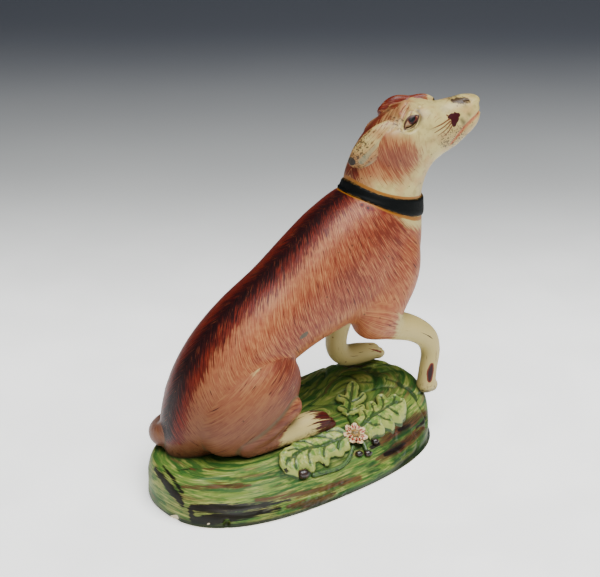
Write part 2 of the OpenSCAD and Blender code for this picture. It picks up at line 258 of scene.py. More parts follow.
def blob(centre, radii, axes=None):
    """Ellipsoid. The rows of axes are its own directions."""
    c = np.asarray(centre, float)
    r = np.asarray(radii, float)
    m = np.eye(3) if axes is None else np.asarray(axes, float)

    def dist(x, y, z):
        dx, dy, dz = x - c[0], y - c[1], z - c[2]
        q = [(m[i, 0] * dx + m[i, 1] * dy + m[i, 2] * dz) / r[i] for i in range(3)]
        far = np.sqrt(q[0] ** 2 + q[1] ** 2 + q[2] ** 2)
        slope = np.sqrt((q[0] / r[0]) ** 2 + (q[1] / r[1]) ** 2 + (q[2] / r[2]) ** 2)
        return far * (far - 1) / np.maximum(slope, 1e-3)

    half = np.sqrt(((m * r[:, None]) ** 2).sum(0))
    return Shape(dist, c - half, c + half)


def axes_from(forward, side):
    """Rows: forward, side squared up to it, and their cross product."""
    f = np.asarray(forward, float)
    f = f / np.linalg.norm(f)
    s = np.asarray(side, float)
    s = s - f * (s @ f)
    s = s / np.linalg.norm(s)
    return np.array([f, s, np.cross(f, s)])


def head_way(s_ahead, left, z):
    """A direction of the turned head as a world direction."""
    return from_head(s_ahead, left, z) - from_head(0, 0, 0)


# ---------------------------------------------------------------- grids

FAR = 8.0                 # distances are kept up to this many millimetres from a surface
SETTLE_ROUNDS = 3         # Newton steps that bring mesh points onto the surface
SNAP = 0.06               # a cut nearer than this to a point, in millimetres, goes through the point


class Volume:
    """Distance field on a grid, in millimetres."""

    def __init__(self, low, high, pitch):
        self.low = np.asarray(low, float)
        self.pitch = pitch
        self.count = np.ceil((np.asarray(high, float) - self.low) / pitch).astype(int) + 1
        self.field = np.full(self.count, FAR, np.float32)

    def copy(self):
        """The same grid again. Half a cell short, so that rounding up gives the same count."""
        twin = Volume(self.low, self.low + self.pitch * (self.count - 1.5), self.pitch)
        twin.field = self.field.copy()
        return twin

    def window(self, low, high):
        first = np.clip(np.floor((low - self.low) / self.pitch).astype(int), 0, self.count)
        last = np.clip(np.ceil((high - self.low) / self.pitch).astype(int) + 1, 0, self.count)
        axes = []
        for a in range(3):
            line = (self.low[a] + self.pitch * np.arange(first[a], last[a])).astype(np.float32)
            axes.append(line.reshape([-1 if b == a else 1 for b in range(3)]))
        return tuple(slice(i, j) for i, j in zip(first, last)), axes

    def axes(self):
        """Coordinates of all the places of the grid, as three arrays that combine."""
        return self.window(self.low, self.low + self.pitch * (self.count - 1))[1]

    def fill(self, field):
        self.field = np.clip(field, -FAR, FAR).astype(np.float32)

    def near(self, shape, k):
        margin = k + 3
        return self.window(shape.low - margin, shape.high + margin)

    def join(self, shape, k):
        """Adds a shape, rounded off over k millimetres where it meets the rest."""
        part, (x, y, z) = self.near(shape, k)
        if self.field[part].size:
            self.field[part] = smooth_min(self.field[part], np.minimum(shape.dist(x, y, z), FAR), k)

    def cut(self, shape, k):
        part, (x, y, z) = self.near(shape, k)
        if self.field[part].size:
            self.field[part] = smooth_max(self.field[part], -shape.dist(x, y, z), k)

    def join_loft(self, points, faces):
        grid = openvdb.FloatGrid.createLevelSetFromPolygons(
            ((points - self.low) / self.pitch).astype(np.float32), triangles=faces.astype(np.uint32),
            transform=openvdb.createLinearTransform(1.0), halfWidth=float(FAR / self.pitch))
        values = np.full(self.count, FAR / self.pitch, np.float32)
        grid.copyToArray(values)
        self.field = np.minimum(self.field, values * self.pitch)

    def sample(self, points):
        """Trilinear value of the field at points."""
        g = np.clip((points - self.low) / self.pitch, 0, self.count - 1.001)
        i = np.floor(g).astype(int)
        t = (g - i).astype(np.float32)
        out = 0.0
        for dx in (0, 1):
            for dy in (0, 1):
                for dz in (0, 1):
                    w = ((t[:, 0] if dx else 1 - t[:, 0]) * (t[:, 1] if dy else 1 - t[:, 1])
                         * (t[:, 2] if dz else 1 - t[:, 2]))
                    out = out + w * self.field[i[:, 0] + dx, i[:, 1] + dy, i[:, 2] + dz]
        return out

    def slope(self, points):
        """Gradient of the field at points, by central differences."""
        h = self.pitch * 0.6
        parts = []
        for a in range(3):
            step = np.zeros(3)
            step[a] = h
            parts.append((self.sample(points + step) - self.sample(points - step)) / (2 * h))
        return np.stack(parts, 1)

    def surface(self):
        """Points and triangles of the zero surface."""
        grid = openvdb.FloatGrid(FAR)
        grid.copyFromArray(self.field)
        points, quads = grid.convertToQuads(0.0)
        points = points.astype(float) * self.pitch + self.low
        for _ in range(SETTLE_ROUNDS):
            g = self.slope(points)
            square = np.maximum((g * g).sum(1), 0.05)
            move = -(self.sample(points) / square)[:, None] * g
            reach = np.linalg.norm(move, axis=1, keepdims=True)
            points = points + move * np.minimum(1, self.pitch * 0.5 / np.maximum(reach, 1e-6))
        quads = quads.astype(int)
        first = np.linalg.norm(points[quads[:, 0]] - points[quads[:, 2]], axis=1)
        second = np.linalg.norm(points[quads[:, 1]] - points[quads[:, 3]], axis=1)
        turn = (second < first)[:, None]
        one = np.where(turn, quads[:, [0, 1, 3]], quads[:, [0, 1, 2]])
        two = np.where(turn, quads[:, [1, 2, 3]], quads[:, [0, 2, 3]])
        return points, np.concatenate([one, two])


def split(points, faces, g):
    """Cuts a mesh where g, a value for each point, changes sign. Returns the part below zero and the rest."""
    g = np.where(np.abs(g) < SNAP, 0.0, g)
    sign = np.sign(g)
    s = sign[faces]
    crossed = (s.min(1) < 0) & (s.max(1) > 0)
    keep = faces[~crossed]
    bad = faces[crossed]
    edges = np.concatenate([bad[:, [0, 1]], bad[:, [1, 2]], bad[:, [2, 0]]])
    edges = edges[sign[edges[:, 0]] * sign[edges[:, 1]] < 0]
    edges = np.unique(np.sort(edges, axis=1), axis=0)
    t = (g[edges[:, 0]] / (g[edges[:, 0]] - g[edges[:, 1]]))[:, None]
    new_points = blend(points[edges[:, 0]], points[edges[:, 1]], t)
    index = {(int(a), int(b)): len(points) + n for n, (a, b) in enumerate(edges)}
    made = []
    for tri in bad:
        tri = [int(v) for v in tri]
        ring = []
        for a, b in zip(tri, tri[1:] + tri[:1]):
            ring.append(a)
            if sign[a] * sign[b] < 0:
                ring.append(index[(min(a, b), max(a, b))])
        for side in (-1, 1):
            loop = [v for v in ring if v >= len(points) or sign[v] * side >= 0]
            made.extend([loop[0], loop[i], loop[i + 1]] for i in range(1, len(loop) - 1))
    points = np.concatenate([points, new_points])
    g = np.concatenate([g, np.zeros(len(new_points))])
    faces = np.concatenate([keep, np.array(made, int).reshape(-1, 3)])
    side = g[faces].sum(1)
    return compact(points, faces[side < 0]), compact(points, faces[side >= 0])


def compact(points, faces):
    """Leaves out the points that no face uses."""
    used, inverse = np.unique(faces, return_inverse=True)
    return points[used], inverse.reshape(-1, 3)


# ---------------------------------------------------------------- Blender objects

SAME_WAY = 0.2            # least cosine between a face and the true normal given to its corners


def add_attribute(mesh, name, kind, values):
    layer = mesh.attributes.new(name, kind, "POINT")
    key = {"FLOAT": "value", "FLOAT_VECTOR": "vector"}[kind]
    layer.data.foreach_set(key, np.ascontiguousarray(values, np.float32).ravel())


def make_piece(name, points, faces, nodes, slot, normal_of=None, paint=None, material=None):
    """Closed mesh from millimetre points. normal_of gives true surface normals, paint gives attributes.

    Holes left by the cuts are filled. Where a filled face looks away from the true normal, its own is used.
    """
    mesh = bpy.data.meshes.new(name)
    points[:, 2] = np.maximum(points[:, 2], 0.0)
    mesh.from_pydata((points * MM).tolist(), [], faces.tolist())
    bm = bmesh.new()
    bm.from_mesh(mesh)
    open_edges = [e for e in bm.edges if e.is_boundary]
    if open_edges:
        made = bmesh.ops.holes_fill(bm, edges=open_edges, sides=0)
        bmesh.ops.triangulate(bm, faces=made["faces"])
    bm.to_mesh(mesh)
    bm.free()
    mesh.validate()
    points = np.zeros(len(mesh.vertices) * 3, np.float32)
    mesh.vertices.foreach_get("co", points)
    points = points.reshape(-1, 3).astype(float) / MM
    mesh.polygons.foreach_set("use_smooth", np.ones(len(mesh.polygons), bool))
    if paint:
        for key, (kind, values) in paint(points).items():
            add_attribute(mesh, key, kind, values)
    if normal_of:
        normals = normal_of(points)
        normals = normals / np.maximum(np.linalg.norm(normals, axis=1, keepdims=True), 1e-6)
        corner = np.zeros(len(mesh.loops), np.int32)
        mesh.loops.foreach_get("vertex_index", corner)
        loose = np.zeros(len(mesh.polygons) * 3, np.float32)
        mesh.polygons.foreach_get("normal", loose)
        loose = np.repeat(loose.reshape(-1, 3), 3, axis=0)
        wanted = normals[corner]
        hidden = (wanted * loose).sum(1) < SAME_WAY
        wanted[hidden] = loose[hidden]
        mesh.normals_split_custom_set(wanted.tolist())
    mesh.materials.append(material)
    piece = bpy.data.objects.new(name, mesh)
    bpy.context.scene.collection.objects.link(piece)
    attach(piece, "root")
    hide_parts(*nodes)


# ---------------------------------------------------------------- the dog's body field

def section_ring(st, angles, axis_x, turn):
    """One body section as points. Angles run from the back to the dog's right."""
    top, low = np.array(st[0:2], float), np.array(st[2:4], float)
    centre = (top + low) / 2
    half = np.linalg.norm(top - low) / 2
    u = (top - low) / (2 * half)
    c, s = np.cos(angles), np.sin(angles)
    v = half * signed_power(c, ROUNDNESS)
    w = -st[4] * (1 + st[5] * c) * signed_power(s, ROUNDNESS)
    x = centre[0] + u[0] * v
    a = -HEAD_TURN * turn
    return np.stack([axis_x + x * math.cos(a) - w * math.sin(a), MID_Y + x * math.sin(a) + w * math.cos(a),
                     centre[1] + u[1] * v], 1)


RING_STEPS = 8            # rings from one station to the next
RING_POINTS = 120
RING_ANGLES = np.arange(RING_POINTS) * 2 * math.pi / RING_POINTS
RINGS = np.array([section_ring(st, RING_ANGLES, DOG_X, 0) for st in TRUNK]
                 + [section_ring(st, RING_ANGLES, HEAD_X, st[6]) for st in HEAD])
BODY_RINGS = spline(RINGS, RING_STEPS)


def loft_mesh(rings):
    """Triangles of a closed loft, with the two end caps as fans."""
    m, n = rings.shape[:2]
    j, i = np.meshgrid(np.arange(m - 1), np.arange(n), indexing="ij")
    a, b = j * n + i, j * n + (i + 1) % n
    c, d = b + n, a + n
    faces = np.concatenate([np.stack([a, c, b], -1).reshape(-1, 3), np.stack([a, d, c], -1).reshape(-1, 3)])
    k = np.arange(n)
    ends = [np.stack([k, (k + 1) % n, np.full(n, m * n)], 1),
            np.stack([(m - 1) * n + (k + 1) % n, (m - 1) * n + k, np.full(n, m * n + 1)], 1)]
    points = np.concatenate([rings.reshape(-1, 3), [rings[0].mean(0)], [rings[-1].mean(0)]])
    return points, np.concatenate([faces] + ends)


BODY_MESH = loft_mesh(BODY_RINGS)


class BodyMap:
    """Finds, for points of the skin, the place along the spine and round the section."""

    def __init__(self, rings):
        m, n = rings.shape[:2]
        centres = rings.mean(1)
        steps = np.linalg.norm(np.diff(centres, axis=0), axis=1)
        along = np.concatenate([[0], np.cumsum(steps)])
        arcs = np.linalg.norm(np.diff(np.concatenate([rings, rings[:, :1]], 1), axis=1), axis=2)
        walked = np.concatenate([np.zeros((m, 1)), np.cumsum(arcs, 1)], 1)
        total = walked[:, -1:]
        down = np.minimum(walked[:, :-1], total - walked[:, :-1])
        rows = np.repeat(np.arange(m, dtype=float)[:, None], n, 1)
        right = np.repeat(np.sin(RING_ANGLES)[None, :], m, 0)
        columns = [np.repeat(along[:, None], n, 1), down, np.repeat(total / 2, n, 1), rows, right]
        self.values = np.stack(columns, -1).reshape(-1, len(columns))
        points, faces = loft_mesh(rings)
        self.points = points
        self.faces = faces[:2 * (m - 1) * n]
        self.tree = BVHTree.FromPolygons([tuple(p) for p in points], [tuple(f) for f in self.faces.tolist()])

    def __call__(self, points):
        """Columns: distance along the spine, down from the back, half the girth, ring number, and place to
        the right from -1 to 1.
        """
        where = np.zeros(len(points), int)
        hit = np.zeros((len(points), 3))
        find = self.tree.find_nearest
        for i, p in enumerate(points.tolist()):
            place, _, face, _ = find(p)
            where[i] = face
            hit[i] = place
        tri = self.faces[where]
        a, b, c = self.points[tri[:, 0]], self.points[tri[:, 1]], self.points[tri[:, 2]]
        full = np.cross(b - a, c - a)
        area = np.maximum((full * full).sum(1), 1e-9)
        wa = (np.cross(b - hit, c - hit) * full).sum(1) / area
        wb = (np.cross(c - hit, a - hit) * full).sum(1) / area
        weights = np.stack([wa, wb, 1 - wa - wb], 1)[:, :, None]
        return (self.values[tri] * weights).sum(1)


def haunch(side):
    lean = math.radians(34)
    axes = axes_from([math.cos(lean), 0, math.sin(lean)], [0, 1, 0])
    return blob([-21.5 + DOG_X, MID_Y + side * 13.2, 34.2], [22.5, 10.0, 15.2], axes)


def dog_shapes():
    """Named shapes that are joined to the body, with the softness of each join."""
    out = {}
    for side, word in ((-1, "right"), (1, "left")):
        out["thigh_" + word] = [(haunch(side), 2.2)]
        foot = [(limb(SHANK, side), 0.6), (limb(HIND_FOOT, side), 0.9)]
        for l, x in ((13.6, 7.6), (15.8, 9.2), (18.2, 8.6)):
            foot.append((blob([x + DOG_X, MID_Y + side * l, 18.6], [3.6, 1.5, 2.2]), 0.5))
        out["hind_foot_" + word] = foot
    right = [(limb(FORELEG_RIGHT, -1), 1.5)]
    right.append((blob([36.0 + DOG_X, MID_Y - 11.0, 56.0], [9.0, 7.4, 9.5]), 4.0))
    for l in (-1.9, 0.0, 1.9):
        right.append((blob([61.6 + DOG_X, MID_Y - 11.4 + l, 17.2 + 0.4 * abs(l)], [2.2, 1.25, 2.6]), 0.5))
    out["foreleg_right"] = right
    left = [(limb(FORELEG_LEFT, 1), 1.5)]
    for l in (-2.0, 0.0, 2.0):
        left.append((blob([52.4 + DOG_X - 0.3 * abs(l), MID_Y + 10.6 + l, 25.2], [2.6, 1.3, 1.9]), 0.5))
    out["foreleg_left"] = left
    out["tail"] = [(limb(TAIL, 1), 1.2)]
    return out


def nearest(shapes, x, y, z):
    """Distance from the nearest of some shapes."""
    best = None
    for shape, _ in shapes:
        d = shape.dist(x, y, z)
        best = d if best is None else np.minimum(best, d)
    return best


DOG_SHAPES = dog_shapes()
MUSCLES = [(blob([43.0 + DOG_X, MID_Y + side * 12.9, 66.0], [7.5, 6.2, 15.0],
                 axes_from([0.94, 0, -0.34], [0, 1, 0])), 5.0) for side in (-1, 1)]

NECK_TOP, NECK_LOW = np.array([29.8 + DOG_X, 101.0]), np.array([59.8 + DOG_X, 93.0])
NECK_UP = np.array([NECK_TOP[1] - NECK_LOW[1], NECK_LOW[0] - NECK_TOP[0]])
NECK_UP = NECK_UP / np.linalg.norm(NECK_UP)


def neck_height(points):
    """Height above the join of neck and trunk, square to it."""
    return (points[:, 0] - NECK_TOP[0]) * NECK_UP[0] + (points[:, 2] - NECK_TOP[1]) * NECK_UP[1]


def loft_volume(low, high, pitch, shapes=()):
    """The lofted body with some shapes joined to it, inside a box."""
    volume = Volume(low, high, pitch)
    volume.join_loft(*BODY_MESH)
    for shape, k in shapes:
        volume.join(shape, k)
    return volume


PITCH = cell(0.5)
HEAD_PITCH = cell(0.3)
NECK_CUT = -1.2           # height of the cut between head and trunk, hidden by the collar

body_map = BodyMap(BODY_RINGS)
body = loft_volume([-58, MID_Y - 27, 12.5], [63, MID_Y + 28, 112], PITCH,
                   MUSCLES + [pair for shapes in DOG_SHAPES.values() for pair in shapes])
plain = loft_volume(body.low, body.low + body.pitch * (body.count - 1), PITCH, MUSCLES)
body_points, body_faces = body.surface()
left_over, _ = split(body_points, body_faces, neck_height(body_points) - NECK_CUT)
cuts = {}
for name in ("hind_foot_right", "hind_foot_left", "foreleg_right", "foreleg_left", "tail", "thigh_right",
             "thigh_left"):
    pts = left_over[0]
    own = nearest(DOG_SHAPES[name], *pts.T)
    rest = plain.sample(pts)
    for other in DOG_SHAPES:
        if other != name:
            rest = np.minimum(rest, nearest(DOG_SHAPES[other], *pts.T))
    cuts[name], left_over = split(*left_over, own - rest)
cuts["trunk_right"], cuts["trunk_left"] = split(*left_over, left_over[0][:, 1] - MID_Y)

# ---------------------------------------------------------------- base

OVAL_A, OVAL_B, OVAL_POWER = 60.0, 32.3, 2.5      # the base's outline, as in the CAD
OVAL_TURN = math.radians(5.0)
RIM_BACK, RIM_FRONT, RIM_RIGHT = 12.8, 15.5, 4.2
BANK_LEFT, BANK_RIGHT = 1.5, 0.62
BASE_WALL = 4.5
SLAB_TOP = 2.0


def oval_place(x, y):
    """Place in the oval's own axes, share of the oval's size, and distance from its outline."""
    c, s = math.cos(OVAL_TURN), math.sin(OVAL_TURN)
    px, py = x * c + y * s, -x * s + y * c
    ax, ay = np.abs(px), np.abs(py)
    r = np.maximum((ax / OVAL_A) ** OVAL_POWER + (ay / OVAL_B) ** OVAL_POWER, 1e-6) ** (1 / OVAL_POWER)
    n = OVAL_POWER
    gx = r ** (1 - n) * ax ** (n - 1) / OVAL_A ** n
    gy = r ** (1 - n) * ay ** (n - 1) / OVAL_B ** n
    return px, py, r, (r - 1) / np.maximum(np.hypot(gx, gy), 1e-4)


def ground(x, y):
    """Height of the mound before its small relief."""
    px, py, r, _ = oval_place(x, y)
    r = np.maximum(r, 0.03)
    near = ramp(0.05, 0.8, -py / (r * OVAL_B))
    inside = (1 - r) * np.hypot(px, py) / r
    front = clamp01((px / (r * OVAL_A) - 0.3) / 0.6)
    rim = blend(blend(RIM_BACK, RIM_FRONT, front), RIM_RIGHT, near)
    bank = rim + blend(BANK_LEFT, BANK_RIGHT, near) * inside
    swell = 5.6 * np.exp(-(((x - 45) / 23) ** 2 + ((y - 13) / 19) ** 2) ** 2)
    flat, soft = SEAT_Z + swell, 0.9
    low = np.minimum(flat, bank)
    return low - soft * np.log(np.exp(-(flat - low) / soft) + np.exp(-(bank - low) / soft))


def on_ground(x, y, lift=0.0):
    return [x, y, float(ground(np.array(x, float), np.array(y, float))) + lift]


CRACKS = [
    [(46.5, 12.5, 0.8), (43.0, 8.0, 1.0), (39.5, 3.0, 0.9), (36.0, -0.5, 0.5)],
    [(36.5, 14.0, 0.5), (41.0, 13.0, 0.9), (46.5, 12.5, 0.9), (52.0, 11.0, 0.6)],
    [(24.0, 9.0, 0.5), (29.5, 9.0, 0.8), (34.0, 6.0, 0.8), (39.0, 2.5, 0.7)],
    [(31.0, 14.5, 0.4), (33.5, 11.5, 0.7), (34.0, 6.0, 0.7)],
    [(12.0, 8.0, 0.4), (20.0, 3.0, 0.7), (28.0, 0.5, 0.5)],
    [(44.0, 2.0, 0.4), (48.0, -3.0, 0.8), (51.0, -9.0, 0.5)],
]
DENTS = [([36.0, -23.5, 9.0], [9.0, 2.6, 3.0]), ([25.0, -28.5, 7.0], [6.0, 2.2, 2.6]),
         ([47.0, -17.5, 9.5], [5.0, 2.4, 3.4]), ([-59.6, -11.8, 1.6], [1.6, 1.6, 1.6]),
         ([-45.8, -25.6, 2.4], [1.3, 1.0, 1.2]), ([20.0, -32.0, 2.0], [3.4, 1.4, 1.5])]


def base_relief(x, y, z):
    """Depth taken off the mound: bark-like grooves, lumps, hollows and a torn band low on the near side."""
    px, py, r, edge = oval_place(x, y)
    inside = -edge
    near = ramp(0.15, 0.75, -py / (np.maximum(r, 0.05) * OVAL_B))
    front = ramp(10, 30, px) * (1 - 0.6 * ramp(0.0, 3.0, 3.0 - inside))
    groove = noise(px / 15, inside / 1.5 + z * 0.35, px * 0 + z * 0.1, 2)
    lumps = noise(px / 8, py / 8, z / 8, 2)
    leafy = np.abs(noise(px / 9 + 3, py / 7, z / 9 + 4, 2))
    torn = ramp(-44, -30, px) * ramp(8, -4, px) * ramp(6.5, 4.0, z) * near
    shreds = noise(px / 1.3, py / 1.3, z / 1.1, 2)
    depth = near * (1 - front) * 0.42 * (groove + 0.25) + 0.30 * (lumps + 0.5)
    depth = depth + front * (0.55 * ramp(0.0, 0.22, 0.22 - leafy) + 0.25)
    depth = depth + torn * (0.55 * shreds + 0.35)
    pull_in = 1.3 * ramp(15, 35, px) * ramp(2, -12, py) * ramp(14, 2, z)
    return (depth + pull_in) * ramp(0.1, 1.6, z)


def mound_top(x, y, pitch):
    """Height of the mound, and how much longer its slope is than the plan."""
    top = ground(x, y)
    gx, gy = np.gradient(top[:, :, 0], pitch)
    return top, np.sqrt(1 + gx ** 2 + gy ** 2)[:, :, None]


def base_volume(pitch):
    volume = Volume([BASE_LOW[0] - 2, BASE_LOW[1] - 2, -2.5], [BASE_HIGH[0] + 2, BASE_HIGH[1] + 2, 25], pitch)
    x, y, z = volume.axes()
    edge = oval_place(x, y)[3]
    top, steep = mound_top(x, y, pitch)
    skin = smooth_max(edge + 0.5 * ramp(2.0, 0.0, z), (z - top) / steep, 2.2)
    hollow = smooth_max(edge + BASE_WALL, (z - top + BASE_WALL) / steep, 2.0)
    skin = skin + base_relief(x, y, z)
    volume.fill(smooth_max(smooth_max(skin, -z, 0.5), -hollow, 0.8))
    for crack in CRACKS:
        volume.cut(chain([[a, b, on_ground(a, b)[2] + 0.1, r] for a, b, r in crack], 4), 0.8)
    for centre, radii in DENTS:
        volume.cut(blob(centre, radii), 1.6)
    return volume


# ---------------------------------------------------------------- leaves, twigs, flower and acorns

# midrib from root to tip, then lobes: share along the midrib, lobe end x, y and radius
LEAVES = {
    "oak_leaf_rear": ([(11.5, -17.4), (2.5, -17.8), (-8.0, -18.2), (-16.0, -20.6)],
                      [(0.14, 5.2, -13.6, 1.9), (0.36, -2.0, -13.8, 2.2), (0.62, -9.0, -14.6, 2.2),
                       (0.86, -14.6, -17.6, 1.9), (1.0, -18.0, -21.6, 1.7), (0.2, 5.4, -20.4, 1.9),
                       (0.46, -1.6, -21.8, 2.1), (0.7, -8.6, -22.8, 2.1), (0.9, -15.0, -23.4, 1.7)]),
    "oak_leaf_front": ([(18.5, -16.4), (25.5, -14.0), (33.0, -12.0), (39.0, -11.0)],
                       [(0.22, 25.0, -8.9, 1.9), (0.42, 30.2, -7.2, 2.1), (0.7, 35.6, -6.2, 2.1),
                        (0.9, 40.2, -8.4, 1.7), (1.0, 41.6, -11.2, 1.6), (0.3, 27.0, -17.0, 2.0),
                        (0.58, 32.6, -16.0, 2.0), (0.82, 37.6, -14.2, 1.7)]),
    "oak_leaf_top": ([(19.0, -7.5), (24.0, -2.0), (29.5, 4.0)],
                     [(0.3, 19.6, -1.8, 1.3), (0.3, 26.6, -6.0, 1.2), (0.65, 22.8, 3.4, 1.4),
                      (0.65, 30.4, -1.6, 1.3), (1.0, 30.2, 5.2, 1.4)]),
}


def flat_capsule(x, y, a, b, ra, rb):
    """Distance in plan to a tapered stroke, and the distance from its own line."""
    dx, dy = b[0] - a[0], b[1] - a[1]
    t = np.clip(((x - a[0]) * dx + (y - a[1]) * dy) / max(dx * dx + dy * dy, 1e-6), 0, 1)
    away = np.hypot(x - a[0] - t * dx, y - a[1] - t * dy)
    return away - (ra + t * (rb - ra)), away


def leaf_plan(name, x, y):
    """Distance in plan from the lobed outline, and how near a vein a place is."""
    rib, lobes = LEAVES[name]
    rib = spline(rib, 6)
    width = 3.0 if name != "oak_leaf_top" else 1.6
    outline, vein = None, 9.0
    for i, (a, b) in enumerate(zip(rib[:-1], rib[1:])):
        share = i / (len(rib) - 1)
        d, away = flat_capsule(x, y, a, b, 0.9 + width * min(1, share * 2.4), 0.9 + width)
        outline = d if outline is None else np.minimum(outline, d)
        vein = np.minimum(vein, away - 0.12)
    for share, ex, ey, radius in lobes:
        start = rib[int(round(max(share - 0.12, 0) * (len(rib) - 1)))]
        bow = (0.5 * (start[0] + ex) + 0.12 * (ey - start[1]), 0.5 * (start[1] + ey) - 0.12 * (ex - start[0]))
        line = spline([start, bow, (ex, ey)], 4)
        for a, b in zip(line[:-1], line[1:]):
            d, away = flat_capsule(x, y, a, b, radius * 0.9, radius)
            outline = smooth_min(outline, d, 0.7)
            vein = np.minimum(vein, away)
    return outline, vein


def leaf_volume(name, pitch):
    rib, lobes = LEAVES[name]
    ends = np.array([(a, b) for _, a, b, _ in lobes] + list(rib))
    low, high = ends.min(0) - 3.5, ends.max(0) + 3.5
    tops = [on_ground(a, b)[2] for a in (low[0], high[0]) for b in (low[1], high[1])]
    volume = Volume([low[0], low[1], min(tops) - 3], [high[0], high[1], max(tops) + 5], pitch)
    x, y, z = volume.axes()
    outline, vein = leaf_plan(name, x, y)
    outline = outline + 0.35 * noise(x / 1.7, y / 1.7, x * 0, 2)
    top, steep = mound_top(x, y, pitch)
    inner = clamp01(-outline / 2.2)
    height = 0.85 + 0.85 * np.sqrt(inner) - 0.42 * np.exp(-(vein / 0.45) ** 2)
    height = height - 0.3 * ramp(1.2, 2.2, vein) * inner + 0.3 * np.exp(-((outline + 0.8) / 0.5) ** 2)
    height = height + 0.16 * noise(x / 1.1, y / 1.1, x * 0, 2)
    over = (z - top) / steep
    volume.fill(smooth_max(smooth_max(outline, over - height, 0.7), -over - 1.2, 0.3))
    return volume


FLOWER = np.array(on_ground(15.0, -17.4, 0.4))
TILT = math.radians(30)
FLOWER_UP = np.array([0.0, -math.sin(TILT), math.cos(TILT)])
FLOWER_ACROSS = np.array([1.0, 0.0, 0.0])
FLOWER_BACK = np.cross(FLOWER_UP, FLOWER_ACROSS)
FLOWER_AXES = axes_from(FLOWER_ACROSS, FLOWER_BACK)
PETALS = 7


def flower_place(across, back, up):
    return FLOWER + FLOWER_ACROSS * across + FLOWER_BACK * back + FLOWER_UP * up


def petal(angle, reach, size, lift, height):
    """One cupped petal: an ellipsoid that leans up and outwards."""
    out = FLOWER_ACROSS * math.cos(angle) + FLOWER_BACK * math.sin(angle)
    forward = out * math.cos(lift) + FLOWER_UP * math.sin(lift)
    side = np.cross(FLOWER_UP, out)
    centre = FLOWER + out * reach + FLOWER_UP * height
    return blob(centre, size, axes_from(forward, side))


def flower_volume(pitch):
    volume = Volume(FLOWER - 7, FLOWER + 7, pitch)
    volume.join(blob(FLOWER + FLOWER_UP * 0.2, [2.9, 2.9, 0.9], FLOWER_AXES), 0.2)
    for i in range(PETALS):
        a = 2 * math.pi * i / PETALS + 0.2
        volume.join(petal(a, 3.0, [1.95, 1.5, 0.5], math.radians(14 + 6 * (i % 3)), 0.9), 0.35)
        volume.join(petal(a + math.pi / PETALS, 2.3, [1.25, 0.95, 0.42], math.radians(34), 1.5), 0.25)
    for i in range(PETALS):
        a = 2 * math.pi * i / PETALS + 0.2
        volume.cut(petal(a, 3.2, [1.9, 0.22, 0.3], math.radians(16), 1.55), 0.3)
    return volume


def boss_volume(pitch):
    volume = Volume(FLOWER - 4, FLOWER + 5, pitch)
    volume.join(blob(FLOWER + FLOWER_UP * 1.5, [1.75, 1.75, 1.05], FLOWER_AXES), 0.2)
    for i in range(9):
        a = 2 * math.pi * i / 9
        volume.cut(blob(flower_place(1.45 * math.cos(a), 1.45 * math.sin(a), 2.25), [0.26, 0.26, 0.26]), 0.2)
    volume.cut(blob(flower_place(0, 0, 2.75), [0.8, 0.8, 0.4], FLOWER_AXES), 0.3)
    return volume


ACORNS = [(-13, -25.4, 1.9), (16.5, -24.2, 1.3), (13, -23.4, 1.2), (22, -21, 1.2)]
STEMS = [[(12, -20.5), (8, -23.6), (2, -25.6), (-9, -25.8)], [(16.5, -19), (17, -20.6), (16.6, -22.6)],
         [(17.4, -13.6), (18, -11), (19, -8.6)]]


def acorns_volume(pitch):
    low, high = np.min(ACORNS, 0), np.max(ACORNS, 0)
    volume = Volume([low[0] - 4, low[1] - 4, 2], [high[0] + 4, high[1] + 4, 16], pitch)
    for x, y, r in ACORNS:
        middle = np.array(on_ground(x, y, r - 0.6))
        volume.join(blob(middle, [r * 1.1, r * 0.95, r * 0.92], axes_from([0.9, -0.3, 0.1], [0, 0, 1])), 0.2)
        tip = middle + np.array([r * 1.05, -r * 0.35, r * 0.12])
        volume.join(blob(tip, [r * 0.34, r * 0.2, r * 0.2]), 0.3)
        cup = middle - np.array([r * 0.62, -r * 0.2, 0])
        volume.join(blob(cup, [r * 0.55, r * 0.9, r * 0.86]), 0.15)
    return volume


def stems_volume(pitch):
    places = np.array([p for run in STEMS for p in run])
    low, high = places.min(0), places.max(0)
    volume = Volume([low[0] - 3, low[1] - 3, 2], [high[0] + 3, high[1] + 3, 20], pitch)
    for run in STEMS:
        volume.join(chain([on_ground(a, b, 0.3) + [0.9] for a, b in run], 5), 0.3)
    return volume


# ---------------------------------------------------------------- collar

COLLAR_RING = (len(TRUNK) - 1) * RING_STEPS       # ring of the loft at the join of head and trunk
COLLAR_WIDTH, COLLAR_THICK, COLLAR_SAG = 6.3, 0.9, 1.6
GOLD_AT, GOLD_HALF = 3.6, 0.5     # the gold lines' distance from the collar's middle, and half their width
STATION_GAP = 5.0         # about the length of neck between two stations, in millimetres


def neck_ring_point(t, k, grow):
    """Point on the neck t millimetres above the join at ring place k, lifted off the skin by grow."""
    at = COLLAR_RING + t / STATION_GAP * RING_STEPS
    i = int(math.floor(at))
    ring = blend(BODY_RINGS[i], BODY_RINGS[i + 1], at - i)
    p = ring[k]
    ahead, behind = ring[(k + 1) % RING_POINTS], ring[k - 1]
    along = BODY_RINGS[i + 1][k] - BODY_RINGS[i][k]
    out = np.cross(along, ahead - behind)
    out = out / np.linalg.norm(out)
    if out @ (p - ring.mean(0)) < 0:
        out = -out
    return p + out * grow


